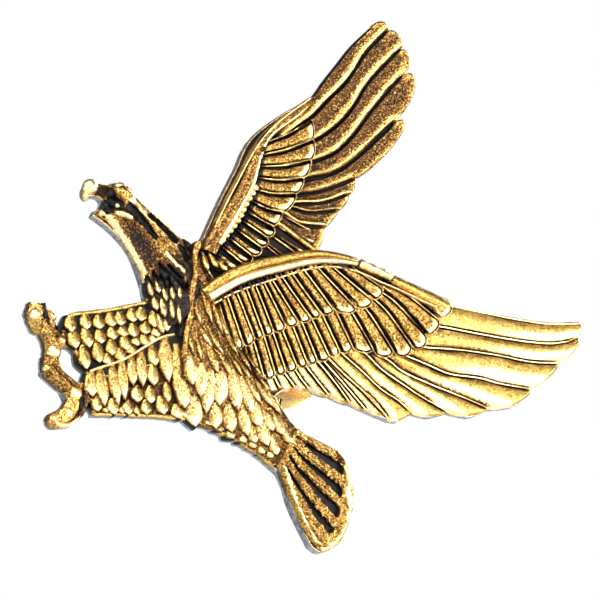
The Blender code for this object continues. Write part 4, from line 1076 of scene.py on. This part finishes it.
RIM = [(7.5, -20.8), (7.9, -22.4), (7.8, -24.0), (8.0, -26.2), (7.6, -28.2), (6.6, -29.9), (4.7, -31.0)]


# %% Carve the tail
def trough_share(along, across):
    """1 in the black troughs, which run with the fan's own lines and end round."""
    deep = np.zeros(len(along))
    across = across + 0.02 * skin(np.stack([24 * along, 9 * across], axis=1), 1.0)
    for middle, half, start, stop in TROUGHS:
        taper = 0.55 + 0.45 * ease(along, start, stop)
        side = 1 - ease(np.abs(across - middle) / (half * taper), 0.72, 1.05)
        reach = ease(along, start - 0.03, start + 0.03) * (1 - ease(along, stop - 0.03, stop + 0.01))
        deep = np.maximum(deep, side * reach)
    return deep


def fan(places, gaps, along, across):
    edge = np.minimum(np.minimum(gaps[0], gaps[1]), gaps[2])
    bars = 0.25 * np.abs(np.sin(np.pi * (across - 0.08) * 4.8))
    rise = 0.55 * ease(edge, 0.0, 0.35) + bars + 0.65 * (1 - ease(along, 0.0, 0.3))
    return 2.35 + rise - 0.95 * trough_share(along, across)


tail = [plate("tail_plate", TAIL, 2.45, back=0.14)]
tail.append(form(TAIL_LEFT, TAIL_RIGHT, fan, tip=(8.3, -26.7), base_hollow=0.17, shading=trough_share,
                 ribs=[([(-0.2, -21.3), (1.7, -25.9), (3.9, -30.1)], 0.35, 0.25), (RIM, 0.55, 0.30)]))

REGIONS = {"far_wing": far_wing, "near_wing": near_wing, "body": body, "head": head, "talons": talons,
           "tail": tail}
print("pieces in each region:", {name: len(pieces) for name, pieces in REGIONS.items()})

# %% [markdown]
# ## Pins and clutches
# The nails, the solder round their heads, the stamped cups and the spring plates are all turned or
# stamped round, so each section is drawn once as a closed loop of (radius, depth) and spun round its
# pin. A screw modifier would also do; the spin is done on the mesh itself, so its closing seam can be
# merged at a distance that suits so small a part. The clutches' wings are plain bent sheet, so the
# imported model's own wings only get the finish.

# %% Spin a round piece
ROUND_STEPS = 96


def turned(name, node, section):
    """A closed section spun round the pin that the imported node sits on."""
    low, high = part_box(node)
    centre = (low + high) / 2
    bpy.ops.mesh.primitive_circle_add(vertices=len(section), radius=1)
    made = bpy.context.object
    made.name = name
    ring = points_of(made.data)
    order = np.argsort(np.argsort(np.arctan2(ring[:, 1], ring[:, 0])))
    section = np.array(section, float)[order] * MM
    level = np.full(len(section), centre.z)
    set_points(made.data, np.stack([centre.x + section[:, 0], section[:, 1], level], 1))
    edit(made)
    bpy.ops.mesh.spin(steps=ROUND_STEPS, angle=2 * math.pi, center=(centre.x, 0, centre.z), axis=(0, 1, 0))
    bpy.ops.mesh.select_all(action="SELECT")
    bpy.ops.mesh.remove_doubles(threshold=0.0005 * MM)
    close_up()
    smooth_by_angle(made, 30)
    return made


def depths(node):
    """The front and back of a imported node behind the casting, in millimetres."""
    low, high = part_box(node)
    return low.y / MM, high.y / MM


def half_width(node):
    low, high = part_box(node)
    return (high.x - low.x) / 2 / MM


def rounded(corners, radius):
    """A section whose corners are each eased by a small round of three points."""
    corners = np.array(corners, float)
    eased = []
    for before, here, after in zip(np.roll(corners, 1, 0), corners, np.roll(corners, -1, 0)):
        back, ahead = before - here, after - here
        room = min(radius, 0.45 * np.linalg.norm(back), 0.45 * np.linalg.norm(ahead))
        start = here + back / np.linalg.norm(back) * room
        end = here + ahead / np.linalg.norm(ahead) * room
        eased += [start, (start + 2 * here + end) / 4, end]
    return eased


# %% Pins, solder, cups and spring plates
HEAD_THICK, SHANK, WAIST, POINT, GROOVE_AT = 0.50, 0.60, 0.46, 1.6, 4.1
COLLAR, COLLAR_SHEET, LIP, CUP_SHEET = 3.30, 0.40, 0.45, 0.40
AXIS_RADIUS = 0.004
fittings = []
for where in ("lower", "upper"):
    near, far = depths(f"{where}_pin")
    nail = half_width(f"{where}_pin")
    low, high = depths(f"{where}_clutch_cup")
    rim = half_width(f"{where}_clutch_cup")
    plate_low, plate_high = depths(f"{where}_clutch_spring_plate")
    plate_rim = half_width(f"{where}_clutch_spring_plate")
    flange = low + CUP_SHEET
    collar_rim = COLLAR + COLLAR_SHEET
    pin_section = rounded([
        (AXIS_RADIUS, near), (nail, near), (nail, near + HEAD_THICK), (SHANK + 0.12, near + HEAD_THICK),
        (SHANK, near + HEAD_THICK + 0.15), (SHANK, GROOVE_AT - 0.55), (WAIST, GROOVE_AT - 0.35),
        (WAIST, GROOVE_AT + 0.35), (SHANK, GROOVE_AT + 0.55), (SHANK, far - POINT),
        (SHANK * 0.72, far - POINT * 0.55), (0.24, far - 0.22), (AXIS_RADIUS, far)], 0.12)
    solder_section = [
        (nail + 0.04, near), (nail + 0.60, near), (nail + 0.42, near + 0.06), (nail + 0.24, near + 0.15),
        (nail + 0.12, near + 0.27), (nail + 0.04, near + 0.40)]
    cup_section = rounded([
        (SHANK + 0.13, low + 0.25), (2.9, low + 0.25), (3.4, low), (rim, low), (rim, flange),
        (collar_rim, flange), (collar_rim, high), (COLLAR - LIP, high), (COLLAR - LIP, high - CUP_SHEET),
        (COLLAR, high - CUP_SHEET), (COLLAR, flange), (SHANK + 0.13, flange)], 0.13)
    plate_section = rounded([
        (SHANK + 0.25, plate_low), (plate_rim, plate_low), (plate_rim, plate_high),
        (SHANK + 0.25, plate_high)], 0.06)
    for kind, section, body_name, slot_name in (
            ("pin", pin_section, "badge", "pin_metal"),
            ("pin_solder", solder_section, "badge", "solder"),
            ("clutch_cup", cup_section, f"{where}_clutch", "clutch_brass"),
            ("clutch_spring_plate", plate_section, f"{where}_spring", "clutch_brass")):
        made = turned(f"{where}_{kind}_round", f"{where}_{kind}", section)
        fittings.append((made, body_name, slot_name, f"{where}_{kind}"))
print("round fittings:", [made.name for made, *_ in fittings])

# %% [markdown]
# ## Finishes
# The casting is plated in gold, dipped in a black patina and then rubbed, so gold shines on every ridge,
# turns to speckled brown on the panels and stays black in the grooves. The walls keep a gunmetal tone.
# The relief carries how hollow each place is, and fine grain breaks up every edge between the tones. The
# hollow mark also holds a painted shade at the feathers' roots, and the polish mark a painted sheen on the
# near wing's vanes. The hollows could be found from the shape by the renderer, but marks on the mesh give
# the same tones in any program and at any distance.

# %% Node helpers
def finish(name):
    made = bpy.data.materials.new(name)
    made.use_nodes = True
    nodes = made.node_tree.nodes
    return made, nodes["Principled BSDF"]


def node(made, kind, inputs=(), **settings):
    new = made.node_tree.nodes.new("ShaderNode" + kind)
    for setting, value in settings.items():
        setattr(new, setting, value)
    for socket, value in dict(inputs).items():
        if isinstance(value, bpy.types.NodeSocket):
            made.node_tree.links.new(value, new.inputs[socket])
        else:
            new.inputs[socket].default_value = value
    return new


def grain(made, size, detail=3.0, roughness=0.6):
    """Noise whose grains are about this many millimetres across."""
    place = node(made, "TexCoord").outputs["Object"]
    return node(made, "TexNoise", {"Vector": place, "Scale": 1 / (size * MM), "Detail": detail,
                                   "Roughness": roughness}).outputs["Fac"]


def attribute(made, name):
    return node(made, "Attribute", attribute_name=name).outputs["Fac"]


def steps(made, value, start, end, low=0.0, high=1.0):
    return node(made, "MapRange", {"Value": value, "From Min": start, "From Max": end, "To Min": low,
                                   "To Max": high}, interpolation_type="SMOOTHSTEP").outputs["Result"]


def sums(made, kind, a, b):
    return node(made, "Math", {0: a, 1: b}, operation=kind).outputs[0]


def plus_share(made, a, b, share):
    """a and a share of b, added."""
    return sums(made, "ADD", a, sums(made, "MULTIPLY", b, share))


def blend(made, share, a, b):
    return node(made, "Mix", {"Factor": share, "A": a, "B": b}, data_type="RGBA").outputs["Result"]


def blend_value(made, share, a, b):
    return node(made, "Mix", {"Factor": share, "A": a, "B": b}, data_type="FLOAT").outputs["Result"]


def wire(made, shader, **sockets):
    for socket, value in sockets.items():
        socket = socket.replace("_", " ")
        if isinstance(value, bpy.types.NodeSocket):
            made.node_tree.links.new(value, shader.inputs[socket])
        else:
            shader.inputs[socket].default_value = value


# %% Antique gold tones
BLACK = (0.003, 0.0025, 0.0025, 1)
BROWN = (0.07, 0.030, 0.010, 1)
AMBER = (0.22, 0.105, 0.024, 1)
PLAIN_GOLDS = (0.38, 0.235, 0.050, 1), (0.60, 0.41, 0.12, 1)
BRIGHT_GOLDS = (0.90, 0.61, 0.25, 1), (1.0, 0.84, 0.50, 1)
GUNMETALS = (0.16, 0.18, 0.22, 1), (0.58, 0.63, 0.72, 1)
print("tones in the antique gold:", 3 + len(PLAIN_GOLDS) + len(BRIGHT_GOLDS) + len(GUNMETALS))

# %% Antique gold
gilt, shader = finish("antique_gold_relief")
coarse = grain(gilt, 0.55)
speck = grain(gilt, 0.24, detail=6.0, roughness=0.72)
fine = grain(gilt, 0.05, detail=2.0)
hollow = attribute(gilt, "hollow")
wall = attribute(gilt, "wall")
polish = attribute(gilt, "polish")
# The hollow mark holds the patina of the hollows and, at the feathers' roots, a painted shade; the polish
# mark holds rubbed gold and, on the near wing's vanes, a painted sheen.
patchy = steps(gilt, coarse, 0.35, 0.65)
rubbed = steps(gilt, plus_share(gilt, polish, speck, 0.4), 0.45, 1.0)
gold = blend(gilt, rubbed, blend(gilt, patchy, *PLAIN_GOLDS), blend(gilt, patchy, *BRIGHT_GOLDS))
flecks = sums(gilt, "SUBTRACT", speck, 0.5)
stain = plus_share(gilt, plus_share(gilt, hollow, flecks, 2.2), rubbed, -0.12)
amber = blend(gilt, steps(gilt, stain, 0.00, 0.22), gold, AMBER)
browned = blend(gilt, steps(gilt, stain, 0.16, 0.36), amber, BROWN)
dark = steps(gilt, stain, 0.32, 0.52)
toned = blend(gilt, dark, browned, BLACK)
gunmetal = blend(gilt, steps(gilt, coarse, 0.3, 0.7), *GUNMETALS)
wall_share = steps(gilt, plus_share(gilt, wall, speck, 0.3), 0.55, 0.9)
colour = blend(gilt, wall_share, toned, gunmetal)
rough = blend_value(gilt, dark, steps(gilt, fine, 0.2, 0.8, 0.22, 0.42), 0.34)
rough = blend_value(gilt, wall_share, rough, 0.38)
bump = node(gilt, "Bump", {"Height": plus_share(gilt, speck, fine, 0.35), "Strength": 0.6,
                           "Distance": 0.10 * MM})
wire(gilt, shader, Base_Color=colour, Roughness=rough, Normal=bump.outputs["Normal"],
     Metallic=blend_value(gilt, dark, 1.0, 0.3), Specular_IOR_Level=0.18)

# %% [markdown]
# ## The studio
# The badge hangs before a plain white ground, lit by soft panels: one high on the left, one from the
# right that whitens the long feathers, a weak one below, a small one in front and one behind for the
# back. Polished metal shows what surrounds it, so the ground seen in reflections is a darker grey than
# the ground the camera sees. The floor below is seen through from underneath.

# %% Camera
AZIMUTH, ELEVATION = math.radians(-16), math.radians(-8)
VIEW_WIDTH, LENS = 0.072, 600
VIEW_CENTRE = (2.57, -0.64, 0)
toward = Vector((math.sin(AZIMUTH) * math.cos(ELEVATION), -math.cos(AZIMUTH) * math.cos(ELEVATION),
                 math.sin(ELEVATION)))
turn = (-toward).to_track_quat("-Z", "Y")
camera = bpy.data.objects.new("camera", bpy.data.cameras.new("camera"))
bpy.context.scene.collection.objects.link(camera)
camera.data.lens = LENS
camera.data.clip_start, camera.data.clip_end = 0.01, 10
camera.rotation_mode = "QUATERNION"
camera.rotation_quaternion = turn
aim = turn @ Vector(VIEW_CENTRE) * MM
camera.location = aim + toward * VIEW_WIDTH * LENS / camera.data.sensor_width
bpy.context.scene.camera = camera
print(f"camera {(camera.location - aim).length:.2f} m from the badge")


# %% Soft panels
def softbox(name, across, height, front, size, power):
    """A square panel of light at a place seen from the camera: to its right, above and towards it."""
    made = bpy.data.objects.new(name, bpy.data.lights.new(name, "AREA"))
    bpy.context.scene.collection.objects.link(made)
    made.data.size, made.data.energy = size, power
    made.visible_camera = False
    made.location = turn @ Vector((across, height, 0)) + toward * front
    made.rotation_mode = "QUATERNION"
    made.rotation_quaternion = (-made.location).to_track_quat("-Z", "Y")
    return made


softbox("key", -0.25, 0.50, 0.50, 0.30, 11.0)
softbox("side", 0.65, -0.05, 0.35, 0.25, 10.0)
softbox("low", -0.55, -0.35, 0.15, 0.45, 4.2)
softbox("front", 0.12, 0.10, 0.90, 0.12, 2.2)
softbox("behind", 0.45, 0.15, -0.60, 0.40, 8.0)

# %% Floor and ground
bpy.ops.mesh.primitive_plane_add(size=9.0, location=(0, 0, -0.30))
floor = bpy.context.object
floor.name = "floor"
paper, shader = finish("pale_floor")
pulp = steps(paper, grain(paper, 6.0, detail=5.0), 0.3, 0.7)
wire(paper, shader, Base_Color=blend(paper, pulp, (0.74, 0.74, 0.73, 1), (0.80, 0.80, 0.79, 1)),
     Roughness=steps(paper, pulp, 0.0, 1.0, 0.7, 0.9))
underside = node(paper, "NewGeometry").outputs["Backfacing"]
clear = node(paper, "BsdfTransparent").outputs["BSDF"]
seen_through = node(paper, "MixShader", {0: underside, 1: shader.outputs["BSDF"], 2: clear})
surface = paper.node_tree.nodes["Material Output"].inputs["Surface"]
paper.node_tree.links.new(seen_through.outputs["Shader"], surface)
floor.data.materials.append(paper)

world = bpy.data.worlds.new("studio")
bpy.context.scene.world = world
world.use_nodes = True
seen = world.node_tree.nodes.new("ShaderNodeLightPath")
tone = world.node_tree.nodes.new("ShaderNodeMix")
tone.data_type = "RGBA"
tone.inputs["A"].default_value = (0.20, 0.20, 0.21, 1)
tone.inputs["B"].default_value = (1, 1, 1, 1)
world.node_tree.links.new(seen.outputs["Is Camera Ray"], tone.inputs["Factor"])
ground_colour = world.node_tree.nodes["Background"].inputs["Color"]
world.node_tree.links.new(tone.outputs["Result"], ground_colour)
bpy.context.scene.view_settings.view_transform = "Standard"

# %% [markdown]
# The clutches are polished brass sheet with a faint brushed turn in it, the nails are gilt steel, and the
# solder is dull grey tin with a slightly pitted skin. One recipe with three sets of values makes them all,
# since they differ only in tone, in grain and in how rough they are.

# %% Brass, pin metal and solder
def plain_metal(name, pale, deep, roughness, grain_size, bump_depth, stains=0.15):
    """A metal with cloudy tone, fine scratches and a little dirt in its hollows."""
    made, shader = finish(name)
    cloud = grain(made, 2.2)
    pits = grain(made, grain_size, detail=4.0)
    place = node(made, "TexCoord").outputs["Object"]
    brushed = node(made, "Mapping", {"Vector": place, "Scale": (9000, 400, 9000)}).outputs["Vector"]
    scratch = node(made, "TexNoise", {"Vector": brushed, "Scale": 1.0, "Detail": 2.0}).outputs["Fac"]
    tone = blend(made, steps(made, cloud, 0.35, 0.65), pale, deep)
    stained = blend(made, steps(made, pits, 0.62, 0.78, 0.0, stains), tone, (0.05, 0.035, 0.02, 1))
    rough = steps(made, plus_share(made, scratch, cloud, 0.5), 0.4, 1.1, *roughness)
    uneven = plus_share(made, pits, scratch, 0.5)
    bump = node(made, "Bump", {"Height": uneven, "Strength": 0.5, "Distance": bump_depth * MM})
    wire(made, shader, Base_Color=stained, Roughness=rough, Metallic=1.0, Normal=bump.outputs["Normal"])
    return made


METALS = {
    "clutch_brass": plain_metal("clutch_brass_sheet", (0.88, 0.62, 0.26, 1), (0.74, 0.48, 0.17, 1),
                                (0.16, 0.34), 0.25, 0.006),
    "pin_metal": plain_metal("gilt_steel", (0.80, 0.68, 0.42, 1), (0.62, 0.50, 0.28, 1),
                             (0.20, 0.40), 0.20, 0.008),
    "solder": plain_metal("tin_solder", (0.62, 0.62, 0.61, 1), (0.42, 0.42, 0.42, 1),
                          (0.35, 0.60), 0.15, 0.03, stains=0.4),
}

# %% [markdown]
# ## Assembly
# The real casting is one piece of metal. Its pieces are joined by region, which keeps each mesh light, and
# all six regions ride on the badge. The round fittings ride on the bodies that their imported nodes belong
# to, so a clutch slides and turns with its plate and its wings.

# %% Join the pieces and put them on the badge
for name, pieces in REGIONS.items():
    made = join(name, pieces)
    made.data.materials.clear()
    made.data.materials.append(gilt)
    smooth_by_angle(made, 50)
    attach(made, "badge")
    print(f"{name}: {sum(len(face.vertices) - 2 for face in made.data.polygons)} triangles")
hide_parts("eagle_casting")

# %% Put the fittings on their bodies
for made, body_name, slot_name, cad_node in fittings:
    made.data.materials.clear()
    made.data.materials.append(METALS[slot_name])
    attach(made, body_name)
    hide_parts(cad_node)
for where in ("lower", "upper"):
    for side in ("right", "left"):
        arm = bpy.data.objects[f"{where}_clutch_{side}_wing"]
        arm.data.materials.clear()
        arm.data.materials.append(METALS["clutch_brass"])
for kind in BLANKS:
    for owner in [thing for thing in bpy.data.objects if thing.data is kind["mesh"]]:
        bpy.data.objects.remove(owner)
